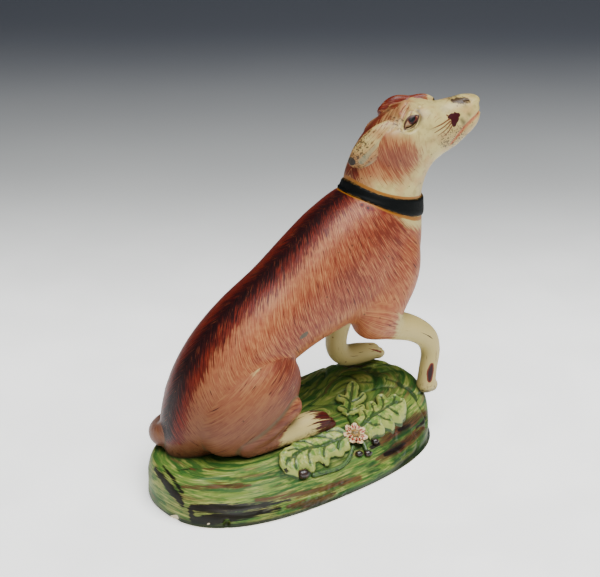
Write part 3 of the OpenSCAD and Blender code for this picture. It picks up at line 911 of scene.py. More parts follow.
def make_collar():
    """Points and triangles of the band: rounded outside, dug a little into the neck inside."""
    steps = 14
    rows = []
    for k in range(RING_POINTS):
        f = RING_ANGLES[k]
        middle = -COLLAR_SAG * math.sin(f) ** 2
        wave = 0.14 * math.sin(5 * f + 1) + 0.1 * math.sin(11 * f)
        half = COLLAR_WIDTH / 2 - 0.05 + 0.5 * wave
        profile = []
        for i in range(steps + 1):
            c = math.cos(math.pi * i / steps)
            lift = COLLAR_THICK * math.sqrt(max(0.0, 1 - abs(c) ** 5)) * (1 + 0.08 * wave)
            profile.append(neck_ring_point(middle + half * c, k, lift))
        for i in range(1, 4):
            c = -math.cos(math.pi * i / 4)
            profile.append(neck_ring_point(middle + half * c, k, -0.8))
        rows.append(profile)
    rows = np.array(rows)
    m, n = rows.shape[:2]
    j, i = np.meshgrid(np.arange(m), np.arange(n), indexing="ij")
    a, b = j * n + i, j * n + (i + 1) % n
    c, d = (j + 1) % m * n + (i + 1) % n, (j + 1) % m * n + i
    faces = np.concatenate([np.stack([a, b, c], -1).reshape(-1, 3), np.stack([a, c, d], -1).reshape(-1, 3)])
    return rows.reshape(-1, 3), faces


def make_from(volume, name, nodes, slot, paint=None, material=None):
    make_piece(name, *volume.surface(), nodes, slot, volume.slope, paint, material)


# ---------------------------------------------------------------- shader arithmetic

class Sock:
    """A shader socket that can be used in sums."""

    def __init__(self, shader, socket):
        self.shader, self.socket = shader, socket

    def __add__(self, other):
        return self.shader.math("ADD", self, other)

    def __sub__(self, other):
        return self.shader.math("SUBTRACT", self, other)

    def __mul__(self, other):
        return self.shader.math("MULTIPLY", self, other)

    __radd__, __rmul__ = __add__, __mul__


class Shader:
    """A material and short calls that add nodes to it. colour is what has been laid on so far."""

    def __init__(self, name, coat, coat_rough=0.12, specular=0.5):
        self.material = bpy.data.materials.new(name)
        self.material.use_nodes = True
        self.tree = self.material.node_tree
        self.bsdf = self.tree.nodes["Principled BSDF"]
        self.bsdf.inputs["Coat Weight"].default_value = coat
        self.bsdf.inputs["Coat Roughness"].default_value = coat_rough
        self.bsdf.inputs["Specular IOR Level"].default_value = specular
        self.colour = None

    def feed(self, node, key, value):
        if isinstance(value, Sock):
            self.tree.links.new(value.socket, node.inputs[key])
        elif isinstance(value, tuple) and len(value) == 3 and node.inputs[key].type == "RGBA":
            node.inputs[key].default_value = (*value, 1)
        else:
            node.inputs[key].default_value = value

    def node(self, kind, **inputs):
        """Adds a node and feeds its inputs, named as in Blender with a line for each space."""
        node = self.tree.nodes.new("ShaderNode" + kind)
        for key, value in inputs.items():
            self.feed(node, key.replace("_", " "), value)
        return node

    def math(self, kind, a, b=0.0):
        node = self.node("Math")
        node.operation = kind
        self.feed(node, 0, a)
        self.feed(node, 1, b)
        return Sock(self, node.outputs[0])

    def value(self, name, output="Fac"):
        """A number kept for each point of the mesh."""
        node = self.node("Attribute")
        node.attribute_name = name
        return Sock(self, node.outputs[output])

    def vector(self, name):
        return self.value(name, "Vector")

    def place(self):
        """Position on the object, in millimetres."""
        return self.stretch(Sock(self, self.node("TexCoord").outputs["Object"]), (1000, 1000, 1000))

    def stretch(self, vector, scale, move=(0, 0, 0)):
        return Sock(self, self.node("Mapping", Vector=vector, Scale=scale, Location=move).outputs[0])

    def noise(self, vector, scale=1.0, detail=3.0, rough=0.5, warp=0.0):
        """Noise about 0 to 1, with the middle at 0.5."""
        node = self.node("TexNoise", Vector=vector, Scale=scale, Detail=detail, Roughness=rough,
                         Distortion=warp)
        return Sock(self, node.outputs["Fac"])

    def cells(self, vector, scale):
        """Distance from the nearest of some scattered points."""
        return Sock(self, self.node("TexVoronoi", Vector=vector, Scale=scale).outputs["Distance"])

    def ramp(self, value, low, high):
        """Smooth step from 0 where value is low to 1 where it is high."""
        node = self.node("MapRange", Value=value)
        node.interpolation_type = "SMOOTHSTEP"
        limits = (low, high, 0, 1) if low < high else (high, low, 1, 0)
        for key, limit in zip(("From Min", "From Max", "To Min", "To Max"), limits):
            node.inputs[key].default_value = limit
        return Sock(self, node.outputs[0])

    def mark(self, name, grain, reach, low, high):
        """Ramp over an attribute whose outline some noise moves by up to about half of reach."""
        return self.ramp(self.value(name) + (grain - 0.5) * reach, low, high)

    def mix(self, under, over, amount):
        node = self.node("Mix")
        node.data_type = "RGBA"
        for key, value in ((0, amount), (6, under), (7, over)):
            self.feed(node, key, value)
        return Sock(self, node.outputs[2])

    def lay(self, over, amount):
        """Lays one more colour over the surface."""
        self.colour = self.mix(self.colour, over, amount)

    def finish(self, rough, height=None, depth=0.1):
        """Feeds the surface. depth is the height of the bump in millimetres."""
        self.feed(self.bsdf, "Base Color", self.colour)
        self.feed(self.bsdf, "Roughness", rough)
        if height is not None:
            bump = self.node("Bump", Strength=1.0, Distance=depth * MM, Height=height)
            self.tree.links.new(bump.outputs[0], self.bsdf.inputs["Normal"])
            self.tree.links.new(bump.outputs[0], self.bsdf.inputs["Coat Normal"])
        return self.material


def rgb(r, g, b):
    """Display colour from 0 to 255 as linear light."""
    shown = (r / 255, g / 255, b / 255)
    return tuple((v / 12.92 if v <= 0.04045 else ((v + 0.055) / 1.055) ** 2.4) for v in shown)


# ---------------------------------------------------------------- glazes and enamels

CREAM = rgb(178, 163, 104)
CREAM_WARM = rgb(166, 114, 70)
PINK = rgb(142, 80, 50)
PINK_DEEP = rgb(120, 54, 30)
RUST = rgb(106, 30, 15)
RUST_DARK = rgb(72, 14, 6)
MAROON = rgb(36, 3, 4)
NEAR_BLACK = rgb(12, 2, 3)
# colour of the painted shade in the coat's creases and where it sits on the mound
SHADE_GREY_GREEN = rgb(74, 70, 48)
BROWN_SPECK = rgb(60, 34, 20)
GOLD = rgb(140, 86, 16)
LIGHT_HAIR = rgb(180, 124, 82)


def hair_strokes(s):
    """Three sets of brush strokes that follow the hair attribute, each from 0 to 1 with the middle at 0.5."""
    hair = s.vector("hair")
    long = s.noise(s.stretch(hair, (0.10, 1.1, 1.0)), 1.0, 2.0, 0.6)
    fine = s.noise(s.stretch(hair, (0.14, 2.6, 1.0), (7, 3, 0)), 1.0, 2.0, 0.6)
    thin = s.noise(s.stretch(hair, (0.10, 1.9, 1.0), (17, 13, 5)), 1.0, 2.0, 0.5)
    return long, fine, thin


def specks(s, place, scale, size):
    """Small scattered dots, 1 inside a dot."""
    return s.ramp(s.cells(place, scale), size, size * 0.4)


def coat_material():
    s = Shader("coat_glaze_painted", coat=0.06, coat_rough=0.22, specular=0.24)
    place = s.place()
    long, fine, thin = hair_strokes(s)
    blotch = s.noise(place, 0.12, 3.0)
    wash = s.noise(place, 0.5, 3.0)
    rust, cream = s.value("rust"), s.value("cream")
    s.colour = s.mix(PINK, CREAM_WARM, s.ramp(wash, 0.38, 0.7) * 0.5)
    s.lay(PINK_DEEP, s.ramp(blotch + (rust - 0.5) * 0.25, 0.42, 0.66) * 0.6)
    s.lay(CREAM_WARM, s.ramp(thin, 0.50, 0.62) * 0.7)
    s.lay(RUST, s.ramp(fine + (rust - 0.5) * 0.24 + (long - 0.5) * 0.35, 0.50, 0.64) * 0.72)
    s.lay(RUST_DARK, s.ramp(long + (fine - 0.5) * 0.9 + (rust - 0.75) * 0.35, 0.58, 0.72) * 0.55)
    light = s.noise(s.stretch(s.vector("hair"), (0.16, 3.4, 1.0), (2, 31, 8)), 1.0, 1.0)
    s.lay(LIGHT_HAIR, s.ramp(light, 0.60, 0.70) * 0.5)
    # Painted shade: a dark brown layer over the lower rump and thigh.
    s.lay(rgb(84, 50, 34), s.value("tan") * 0.72)
    s.lay(CREAM, s.ramp(cream + (wash - 0.5) * 0.3 + (thin - 0.5) * 0.6, 0.3, 0.75) * 0.92)
    stripe = s.value("ridge")
    q = stripe + (long - 0.5) * 15 + (fine - 0.5) * 9
    fringe = s.ramp(q, 9.6, 7.0) * s.ramp(q, -17, -12)
    back = s.mix(RUST_DARK, RUST, s.ramp(fine + (wash - 0.5) * 0.3, 0.42, 0.62))
    back = s.mix(back, rgb(130, 52, 24), s.ramp(thin, 0.56, 0.68) * s.ramp(q, 1.0, -5.0) * 0.8)
    core = (s.ramp(stripe + (thin - 0.5) * 16 + (fine - 0.5) * 8, 5.6, 2.4)
            * s.ramp(stripe + (thin - 0.5) * 13 + (fine - 0.5) * 8, -6.0, -2.0))
    back = s.mix(back, s.mix(MAROON, NEAR_BLACK, s.ramp(fine, 0.42, 0.6)), core)
    back = s.mix(back, rgb(150, 78, 46), s.ramp(light, 0.66, 0.72) * 0.6)
    s.lay(back, fringe)
    tip = s.ramp(s.value("fringe") + (long - 0.5) * 2.4 + (fine - 0.5) * 1.4, 0.45, 0.62)
    s.lay(s.mix(RUST_DARK, MAROON, s.ramp(fine, 0.4, 0.65)), tip)
    # Painted shade: grey-green lines in the creases where parts of the dog meet, low on the body.
    line = s.mark("crease", wash, 0.4, 0.2, 0.9)
    s.lay(SHADE_GREY_GREEN, line * 0.62)
    mark = s.mix(MAROON, RUST, s.mark("spot", fine, 0.7, -0.75, -0.25))
    s.lay(mark, s.mark("spot", fine, 0.5, 0.12, -0.12))
    s.lay(rgb(66, 66, 52), s.mark("chip", wash, 1.2, 0.15, -0.15) * 0.9)
    gold = s.mark("gold", wash, 0.35, 0.08, -0.08)
    s.lay(GOLD, gold * 0.95)
    low = s.value("contact")
    # Brown blotches that grow stronger nearer the seat.
    near_seat_blotches = s.ramp(s.noise(place, 0.9, 3.0), 0.52, 0.6) * s.ramp(low + (blotch - 0.5) * 8, 5.0, 0.8)
    s.lay(BROWN_SPECK, near_seat_blotches * 0.7)
    s.lay(BROWN_SPECK, specks(s, place, 0.16, 0.085) * 0.7)
    # Painted shade: a grey-green band where the coat meets the mound.
    s.lay(SHADE_GREY_GREEN, s.ramp(low, 1.6, 0.1) * 0.6)
    rough = 0.47 + (wash - 0.5) * 0.16 - fringe * 0.05
    height = fine * 1.2 + long * 0.6 + fringe * 0.3 + s.noise(place, 0.35, 2.0) * 1.2
    return s.finish(rough, height, 0.07)


def head_material():
    s = Shader("cream_glaze_face", coat=0.06, coat_rough=0.2, specular=0.24)
    place = s.place()
    long, fine, thin = hair_strokes(s)
    wash = s.noise(place, 0.4, 3.0)
    spread = s.noise(place, 0.16, 2.0)
    s.colour = s.mix(CREAM, CREAM_WARM, s.ramp(spread, 0.45, 0.7) * 0.45)
    s.lay(rgb(142, 126, 74), s.ramp(wash, 0.46, 0.7) * 0.6)
    rust = s.value("rust")
    pinkish = s.ramp(rust + (spread - 0.5) * 0.4, 0.15, 0.8)
    s.lay(PINK, pinkish * 0.75)
    strokes = s.ramp(fine + (long - 0.5) * 0.9 + (rust - 0.5) * 0.42, 0.50, 0.68)
    s.lay(RUST, strokes * 0.66)
    dark = s.ramp(thin + (fine - 0.5) * 0.9 + (rust - 0.8) * 0.5, 0.58, 0.72)
    s.lay(RUST_DARK, dark * 0.5)
    back = s.ramp(s.value("ridge") + (long - 0.5) * 1.6 + (fine - 0.5) * 0.8, 0.35, 0.6)
    s.lay(s.mix(RUST, RUST_DARK, s.ramp(fine, 0.42, 0.6)), back * 0.9)
    stain = s.value("stain")
    tan = s.ramp(stain + (spread - 0.5) * 0.8, 0.3, 0.9)
    s.lay(rgb(150, 122, 74), tan * 0.5)
    spots = s.ramp(s.noise(place, 1.3, 3.0), 0.52, 0.58) * s.ramp(stain + (wash - 0.5) * 1.4, 0.35, 0.8)
    s.lay(rgb(46, 34, 20), spots * 0.8)
    rare = specks(s, place, 0.3, 0.12)
    s.lay(BROWN_SPECK, rare * 0.7)
    # Painted shade: grey-green lines along the folds of the near ear.
    line = s.mark("crease", wash, 0.5, 0.3, 0.8)
    s.lay(rgb(120, 124, 96), line * 0.6)
    mouth = s.mark("mouth", wash, 0.4, 0.6, -0.2)
    s.lay(rgb(164, 76, 58), mouth * 0.85)
    whisker = s.mark("whisker", wash, 0.2, 0.15, -0.06)
    s.lay(rgb(84, 20, 16), whisker * 0.9)
    splodge = s.ramp(s.value("splodge") + (s.noise(place, 1.0, 2.0) - 0.5) * 1.5, 0.1, -0.1)
    s.lay(rgb(50, 3, 9), splodge)
    nose = s.ramp(s.value("nostril") + (s.noise(place, 0.9, 3.0) - 0.5) * 2.4, 0.7, -0.2)
    s.lay(rgb(46, 26, 15), nose * 0.92)
    smudge = s.mark("smudge", wash, 1.5, 1.0, -0.8)
    s.lay(rgb(50, 44, 30), smudge * 0.8)
    chip = s.mark("chip", wash, 0.8, 0.15, -0.15)
    s.lay(s.mix(rgb(48, 44, 34), rgb(20, 17, 13), s.ramp(wash, 0.4, 0.6)), chip * 0.95)
    white = s.ramp(s.value("eye"), 0.05, -0.1)
    s.lay(rgb(150, 118, 84), white)
    iris = s.ramp(s.value("iris"), 0.12, -0.2) * white
    s.lay(s.mix(rgb(88, 26, 18), rgb(42, 8, 10), s.ramp(wash, 0.4, 0.6)), iris)
    pupil = s.ramp(s.value("pupil"), 0.15, -0.15) * white
    s.lay(rgb(7, 5, 6), pupil)
    glint = s.ramp(s.value("glint"), 0.2, -0.2) * pupil
    s.lay(rgb(40, 42, 46), glint * 0.6)
    outline = s.ramp(s.math("ABSOLUTE", s.value("eye") - 0.1), 0.36, 0.18)
    s.lay(rgb(48, 8, 10), outline * 0.95)
    gold = s.mark("gold", wash, 0.35, 0.08, -0.08)
    s.lay(GOLD, gold * 0.95)
    rough = 0.38 + (wash - 0.5) * 0.14
    height = strokes * 0.4 + s.noise(place, 0.4, 2.0) * 1.2 + splodge * 0.5
    return s.finish(rough, height, 0.05)


def base_material():
    s = Shader("base_glaze_green", coat=0.03, coat_rough=0.25, specular=0.16)
    place = s.place()
    grain = s.vector("hair")
    streak = s.noise(s.stretch(grain, (0.07, 0.5, 0.5)), 1.0, 4.0, 0.6, 0.4)
    fine = s.noise(s.stretch(grain, (0.16, 1.5, 1.2), (5, 9, 1)), 1.0, 3.0, 0.6)
    patch = s.noise(place, 0.085, 3.0, 0.55, 0.6)
    dab = s.noise(s.stretch(grain, (0.06, 0.26, 0.3), (3, 1, 7)), 1.0, 3.0, 0.55, 0.8)
    hollow = s.value("hollow")
    s.colour = s.mix(rgb(100, 120, 48), rgb(146, 148, 78), s.ramp(fine + (patch - 0.5) * 0.6, 0.42, 0.62))
    s.lay(rgb(56, 96, 34), s.ramp(streak + (patch - 0.5) * 0.7, 0.40, 0.58) * 0.85)
    s.lay(rgb(30, 72, 28), s.ramp(dab + (streak - 0.5) * 0.8, 0.48, 0.62) * 0.8)
    s.lay(rgb(16, 46, 18), s.ramp(patch + (dab - 0.5) * 0.9, 0.58, 0.74) * 0.7)
    earth = s.noise(s.stretch(grain, (0.05, 0.3, 0.3), (8, 4, 2)), 1.0, 3.0, 0.6, 0.5)
    s.lay(rgb(104, 70, 46), s.ramp(earth, 0.54, 0.68) * 0.6)
    pale = s.ramp(s.value("pale") * 0.3 + (fine - 0.5) * 0.9 + (patch - 0.5) * 1.3, 0.24, 0.6)
    s.lay(rgb(146, 144, 74), pale * 0.6)
    # painted shade in the hollows and cracks of the mound
    s.lay(rgb(14, 44, 20), s.ramp(hollow + (dab - 0.5) * 0.6, 0.45, 1.0) * 0.85)
    shade = s.mark("shade", dab, 1.6, 2.2, -0.4)
    s.lay(rgb(20, 50, 22), shade * 0.85)
    brown = s.ramp(s.value("brown") + (fine - 0.5) * 4.0 + (streak - 0.5) * 2.0, 0.9, -0.3)
    s.lay(s.mix(rgb(84, 44, 28), rgb(44, 16, 12), s.ramp(fine, 0.38, 0.6)), brown * 0.85)
    black = s.ramp(s.value("black") + (fine - 0.5) * 2.6 + (streak - 0.5) * 1.5, 0.55, -0.2)
    s.lay(rgb(11, 4, 4), black * 0.97)
    rim = s.value("foot")
    s.lay(rgb(14, 22, 11), s.ramp(rim + (dab - 0.5) * 3.6 + (fine - 0.5) * 1.5, 2.8, 0.8) * 0.9)
    s.lay(rgb(206, 192, 158), s.ramp(s.value("chip"), 0.1, -0.2))
    bare = s.ramp(s.value("under"), 0.35, 0.05)
    s.lay(s.mix(rgb(212, 198, 166), rgb(150, 134, 104), s.ramp(fine, 0.45, 0.8)), bare)
    rough = 0.5 + (dab - 0.5) * 0.2 + bare * 0.35
    height = s.noise(place, 0.8, 3.0) + fine * 0.6
    return s.finish(rough, height, 0.07)


def leaf_material(name):
    light, mid, dark, blotch = rgb(152, 158, 82), rgb(72, 112, 40), rgb(16, 46, 18), rgb(12, 10, 7)
    s = Shader(name, coat=0.1, coat_rough=0.2, specular=0.32)
    place = s.place()
    wash = s.noise(place, 0.35, 3.0, 0.6, 0.6)
    fine = s.noise(place, 1.4, 3.0)
    s.colour = s.mix(light, mid, s.ramp(wash, 0.38, 0.58) * 0.85)
    # Painted shade in the veins and where the leaf meets the mound, with the veins' own darker green.
    s.lay(dark, s.mark("valley", wash, 1.2, 0.35, 0.8) * 0.8)
    # Lighter raised rims: their own paler colour and a painted highlight.
    s.lay(light, s.mark("edge", fine, 0.5, 0.55, 0.9) * 0.7)
    spot = s.mark("blotch", fine, 2.4, 0.2, -0.2)
    s.lay(blotch, spot * 0.95)
    rough = 0.4 + (wash - 0.5) * 0.15
    return s.finish(rough, fine + wash, 0.06)


def petal_material():
    s = Shader("petal_glaze_cream", coat=0.15, coat_rough=0.15, specular=0.35)
    place = s.place()
    fine = s.noise(place, 2.2, 3.0)
    reach = s.value("reach")
    s.colour = s.mix(rgb(206, 186, 142), rgb(170, 124, 88), s.ramp(fine, 0.45, 0.7) * 0.6)
    ring = s.ramp(s.math("ABSOLUTE", reach - 2.9) + (fine - 0.5) * 1.3, 1.05, 0.35)
    beat = s.mark("beat", fine, 0.5, 0.25, 0.5)
    s.lay(rgb(140, 20, 14), ring * beat * 0.95)
    s.lay(rgb(104, 26, 18), s.ramp(s.value("gap"), 0.3, 0.7) * 0.85)
    # Painted shade: dark grey-green on the flower's low side, next to the mound.
    s.lay(rgb(60, 66, 40), s.ramp(s.value("low"), 0.5, -0.3) * 0.8)
    return s.finish(0.3, fine, 0.06)


def plain_enamel(name, main, second, rough, grain, coat):
    """Two colours in soft blotches. grain is the number of blotches for each millimetre."""
    s = Shader(name, coat=coat, coat_rough=0.15)
    place = s.place()
    wash = s.noise(place, grain, 3.0)
    s.colour = s.mix(main, second, s.ramp(wash, 0.42, 0.66))
    return s.finish(rough + (wash - 0.5) * 0.2, s.noise(place, grain * 1.6, 2.0), 0.06)


def collar_material():
    s = Shader("collar_enamel_black", coat=0.0, coat_rough=0.3, specular=0.1)
    place = s.place()
    wash = s.noise(place, 0.7, 3.0)
    brushed = s.noise(s.stretch(s.vector("hair"), (0.12, 2.2, 1)), 1.0, 2.0)
    s.colour = s.mix(rgb(2, 4, 4), rgb(4, 9, 9), s.ramp(brushed, 0.45, 0.75) * 0.7)
    worn = s.mark("edge", wash, 0.5, 0.88, 1.05)
    s.lay(rgb(120, 88, 40), worn * 0.6)
    return s.finish(0.62 + (wash - 0.5) * 0.2, brushed + wash, 0.06)


# ---------------------------------------------------------------- where the paint goes

LIMB_RADIUS = 4.5         # a usual radius, which turns an angle round a limb into millimetres


def limb_place(joints, side, points):
    """Distance along a limb and round it, in millimetres, for each point."""
    path = spline(limb_joints(joints, side), LIMB_STEPS)
    walked = np.concatenate([[0], np.cumsum(np.linalg.norm(np.diff(path[:, :3], axis=0), axis=1))])
    best = np.full(len(points), 1e9)
    along = np.zeros(len(points))
    off = np.zeros((len(points), 3))
    way = np.zeros((len(points), 3))
    for a, b, start in zip(path[:-1], path[1:], walked):
        d = b[:3] - a[:3]
        t = clamp01(((points - a[:3]) @ d) / float(d @ d))
        gap = points - a[:3] - t[:, None] * d
        far = np.linalg.norm(gap, axis=1)
        near = far < best
        best[near] = far[near]
        along[near] = start + t[near] * np.linalg.norm(d)
        off[near] = gap[near]
        way[near] = d / np.linalg.norm(d)
    up = np.cross(way, [0, 1, 0])
    return along, np.arctan2(off[:, 1], (off * up).sum(1)) * LIMB_RADIUS


def painted(points, values, hair=None):
    """Attributes for make_piece. hair gives distances along and across the brush strokes, and a layer."""
    out = {key: ("FLOAT", np.broadcast_to(value, len(points))) for key, value in values.items()}
    if hair is not None:
        out["hair"] = ("FLOAT_VECTOR", np.stack([np.broadcast_to(v, len(points)) for v in hair], 1))
    return out


def collar_height(station, right):
    """Millimetres above the middle line of the collar for places on the skin."""
    return (station - COLLAR_RING) / RING_STEPS * STATION_GAP + COLLAR_SAG * right ** 2


def gold_line(height):
    """Distance in millimetres from the gold lines along the collar's edges."""
    return np.abs(np.abs(height) - GOLD_AT) - GOLD_HALF


NO_MARK = 9.0             # distance given where no painted mark is near, in millimetres
NO_RIDGE = 99.0           # the same for the dark stripe along the back


BODY_BLOTS = [(-2, 62, 11, 0.5), (18, 80, 10, 0.5), (31, 92, 9, 0.7), (42, 76, 12, 0.4), (-24, 56, 10, 0.15),
              (12, 66, 12, 0.5), (40, 90, 9, 0.5), (-12, 52, 8, 0.35), (24, 72, 9, 0.3), (50, 84, 8, 0.2)]


def coat_paint(name):
    """Attributes of the coat for one piece of the dog."""
    side = 1 if name.endswith("left") else -1

    def paint(points):
        along, down, half_girth, station, right = body_map(points).T
        x, y, z = points.T
        table_x, l = x - DOG_X, np.abs(y - MID_Y)
        q = down * np.sign(right + 1e-6)
        width = np.interp(station, [0, 16, 60, 90, 112], [6.0, 7.2, 6.8, 6.4, 5.0])
        ridge = (q - np.interp(station, [20, 56, 88, 104], [0.2, 1.2, -0.6, -2.0])) * 6.5 / width
        ridge = ridge + 20 * ramp(15, 9, station)
        rust = 0.30 + 0.25 * noise(x / 9, y / 9, z / 9, 2)
        for bx, bz, reach, gain in BODY_BLOTS:
            rust = rust + gain * np.exp(-((table_x - bx) ** 2 + (z - bz) ** 2) / reach ** 2)
        share = down / half_girth
        rust = rust * ramp(1.0, 0.55, share)
        cream = ramp(0.62, 0.95, share) * ramp(44, 60, table_x) * 0.9
        cream = np.maximum(cream, ramp(0.7, 0.98, share) * 0.45)
        above_collar = collar_height(station, right)
        cream = np.maximum(cream, ramp(-8.5, -4, above_collar) * ramp(0.3, 0.6, share) * 0.8)
        bend = np.interp(down, BEND_AT, BEND_SUM)
        hair = [down - 0.6 * along, along + bend, 3.0 * side]
        fringe, spot, chip = 0.0, NO_MARK, NO_MARK
        if name.startswith("thigh"):
            c, s = math.cos(THIGH_LEAN), math.sin(THIGH_LEAN)
            hair = [table_x * c + z * s, z * c - table_x * s, 9.0 * side]
            front = ramp(-22, -7, table_x)
            rust = 0.28 + 1.2 * front * ramp(26, 38, z) + 0.2 * noise(x / 6, y / 6, z / 6, 2)
            top = z * c - (table_x + 21.5) * s
            # Cream strokes along the top of the thigh and a cream spot near its front, partly a painted
            # highlight.
            cream = 0.6 * ramp(37, 41.0, top) * ramp(46, 43, top) * ramp(-30, -20, table_x)
            cream = cream + 0.35 * np.exp(-(((table_x + 8) / 2.4) ** 2 + ((z - 40) / 2.6) ** 2))
            ridge = NO_RIDGE
        if name in LIMB_HAIR:
            joints, layer = LIMB_HAIR[name]
            hair = [*limb_place(joints, side, points), layer]
            ridge = NO_RIDGE
        if name.startswith("hind_foot"):
            foot = ramp(24.5, 22.0, z - 0.35 * (table_x + 12))
            rust = 0.35 + 0.35 * (1 - foot) + 0.15 * noise(x / 5, y / 5, z / 5)
            cream = foot * ramp(-20, -9, table_x) * ramp(17, 20, z + 0.2 * l)
            fringe = ramp(-4.0, 7.0, table_x) * 0.95
        if name == "foreleg_right":
            cream = ramp(34, 46, table_x) * 0.95
            cream = np.maximum(cream, ramp(50, 47.5, z) * 0.3)
            rust = 0.32 * ramp(54, 40, table_x) + 0.12
            spot = mark_distance(points, RIGHT_PAW_MARK)
        if name == "foreleg_left":
            cream = ramp(56, 46, z)
            rust = 0.3 * ramp(48, 56, z)
            spot = mark_distance(points, LEFT_PAW_MARKS) + 0.1
        if name == "tail":
            rust = 0.3 + 0.2 * noise(x / 4, y / 4, z / 4)
            cream = 0.0
        if name == "trunk_right":
            chip = FLANK_CHIP.dist(x, y, z)
            spot = mark_distance(points, COLLAR_DRIPS)
        values = {"rust": rust, "cream": cream, "ridge": ridge, "fringe": fringe, "spot": spot, "chip": chip,
                  "crease": piece_gap(name, points), "gold": gold_line(above_collar),
                  # the last entry places painted shade over the lower rump and thigh
                  "contact": z - SEAT_Z, "tan": ramp(62, 28, z) * ramp(4, -18, table_x)}
        return painted(points, values, hair)

    return paint


# joints that the strokes of hair follow, and the layer of noise they are drawn from
LIMB_HAIR = {"hind_foot_right": (HIND_FOOT, -21.0), "hind_foot_left": (HIND_FOOT, 21.0),
             "foreleg_right": (FORELEG_RIGHT, 31.0), "foreleg_left": (FORELEG_LEFT, 41.0),
             "tail": (TAIL, 51.0)}
THIGH_LEAN = math.radians(36)
FLANK_CHIP = blob([-2.5, -10.0, 57.0], [2.2, 3.0, 1.0], axes_from([0.95, 0, 0.3], [0, 1, 0]))
# how far the strokes of the coat have run along the spine at each distance down from the back
BEND_AT = np.linspace(0, 60, 61)
BEND_SUM = np.concatenate([[0], np.cumsum(0.22 + 0.78 * (1 - ramp(8, 34, BEND_AT[:-1] + 0.5)))])

# painted strokes: x, y, z and half width at each point, in millimetres. Half of the points of COLLAR_DRIPS
# come from the helper program named at BLACK_STREAKS.
COLLAR_DRIPS = [[(27.2, -3.1, 98.3, 0.95), (27.4, -3.4, 96.7, 0.6)],
                [(28.7, -4.8, 97.4, 1.0), (29.1, -5.2, 95.2, 0.6)],
                [(29.9, -5.6, 97.0, 0.8), (30.4, -6.0, 95.6, 0.5)],
                [(34.0, -7.4, 95.5, 0.7), (34.2, -7.5, 94.6, 0.5)]]
RIGHT_PAW_MARK = [[(57.8, -8.6, 27.6, 0.9), (57.2, -8.7, 24.6, 1.5), (56.8, -8.8, 21.4, 1.0)]]
LEFT_PAW_MARKS = [[(44.0, 13.4, 29.6, 0.35), (47.0, 13.4, 28.0, 0.45), (50.0, 13.8, 26.2, 0.5)],
                  [(45.0, 15.4, 30.4, 0.3), (48.2, 15.6, 28.8, 0.45), (51.0, 15.8, 26.6, 0.5)],
                  [(45.6, 18.0, 30.0, 0.3), (48.6, 18.0, 28.4, 0.4), (51.4, 18.2, 26.2, 0.45)]]


def mark_distance(points, marks):
    """Distance in millimetres from the nearest of some painted strokes, given as x, y, z and half width."""
    x, y, z = points.T
    best = np.full(len(points), NO_MARK)
    for mark in marks:
        best = np.minimum(best, chain(mark, 5).dist(x, y, z))
    return best


def piece_gap(name, points):
    """How close a place is to the line where another part of the dog begins, from 0 to 1: where shade is
    painted into the crease.
    """
    x, y, z = points.T
    lines = {n: nearest(s, x, y, z) for n, s in DOG_SHAPES.items()}
    lines["trunk"] = plain.sample(points)
    own = "trunk" if name.startswith("trunk") else name
    others = np.min([d for n, d in lines.items() if n != own], axis=0)
    gap = others - lines[own]
    strength = 0.35 if name.startswith(("foreleg", "tail")) else 1.0
    below = ramp(48, 40, z) * (1 - 0.7 * ramp(-24, -34, x) * ramp(20, 26, z))
    return strength * below * np.exp(-(gap / 0.8) ** 2)


def skin_left(volume, s_ahead, z, side):
    """How far to the side the head's skin is at a place seen from the side."""
    sweep = np.linspace(16, 0, 129) * side
    ray = np.array([from_head(s_ahead, l, z) for l in sweep])
    inside = np.nonzero(volume.sample(ray) < 0)[0]
    return sweep[inside[0]] if len(inside) else 0.5 * side


def on_head(volume, places, side):
    """Points on the head's skin from (s, z, radius)."""
    return [[*from_head(s, skin_left(volume, s, z, side), z), r] for s, z, r in places]


# lines of the face: s ahead of the head's axis, z and radius or half width
UPPER_LID = [(4.9, 123.2, 0.3), (6.2, 126.8, 0.5), (8.4, 129.1, 0.55), (10.9, 128.0, 0.35)]
LOWER_LID = [(4.9, 123.2, 0.3), (7.4, 123.9, 0.4), (9.8, 125.5, 0.4), (10.9, 127.8, 0.3)]
MOUTH_LINE = [(36.3, 127.0, 0.4), (34.4, 125.9, 0.5), (31.8, 124.2, 0.5), (29.6, 122.2, 0.45),
              (26.4, 119.0, 0.4), (23.8, 116.0, 0.25)]
WHISKERS = [[(23.0, 125.6, 0.24), (19.0, 124.4, 0.22), (14.6, 123.2, 0.12)],
            [(23.2, 124.8, 0.24), (19.6, 123.2, 0.22), (16.4, 121.8, 0.12)],
            [(23.6, 124.2, 0.24), (20.8, 122.2, 0.22), (17.8, 120.6, 0.12)],
            [(24.0, 123.4, 0.22), (22.0, 121.4, 0.2), (19.8, 119.8, 0.12)],
            [(22.0, 126.9, 0.3), (22.1, 126.8, 0.3)]]
SPLODGE = [(23.3, 126.3, 1.05), (25.8, 126.4, 1.15), (24.9, 124.8, 1.35), (24.7, 123.2, 0.8)]
BROW = [(4.5, 128.2, 0.6), (8.0, 130.4, 0.9), (12.0, 130.3, 0.6)]
NOSTRIL = [(25.6, 131.0, 0.7), (28.2, 131.2, 1.3), (30.8, 131.0, 0.8)]
SMUDGES = [[(11.2, 129.3, 0.5), (11.6, 127.6, 0.6), (10.6, 125.7, 0.4)],
           [(27.6, 124.8, 0.5), (28.6, 123.6, 0.7)], [(30.4, 126.6, 0.3), (30.8, 126.2, 0.3)]]


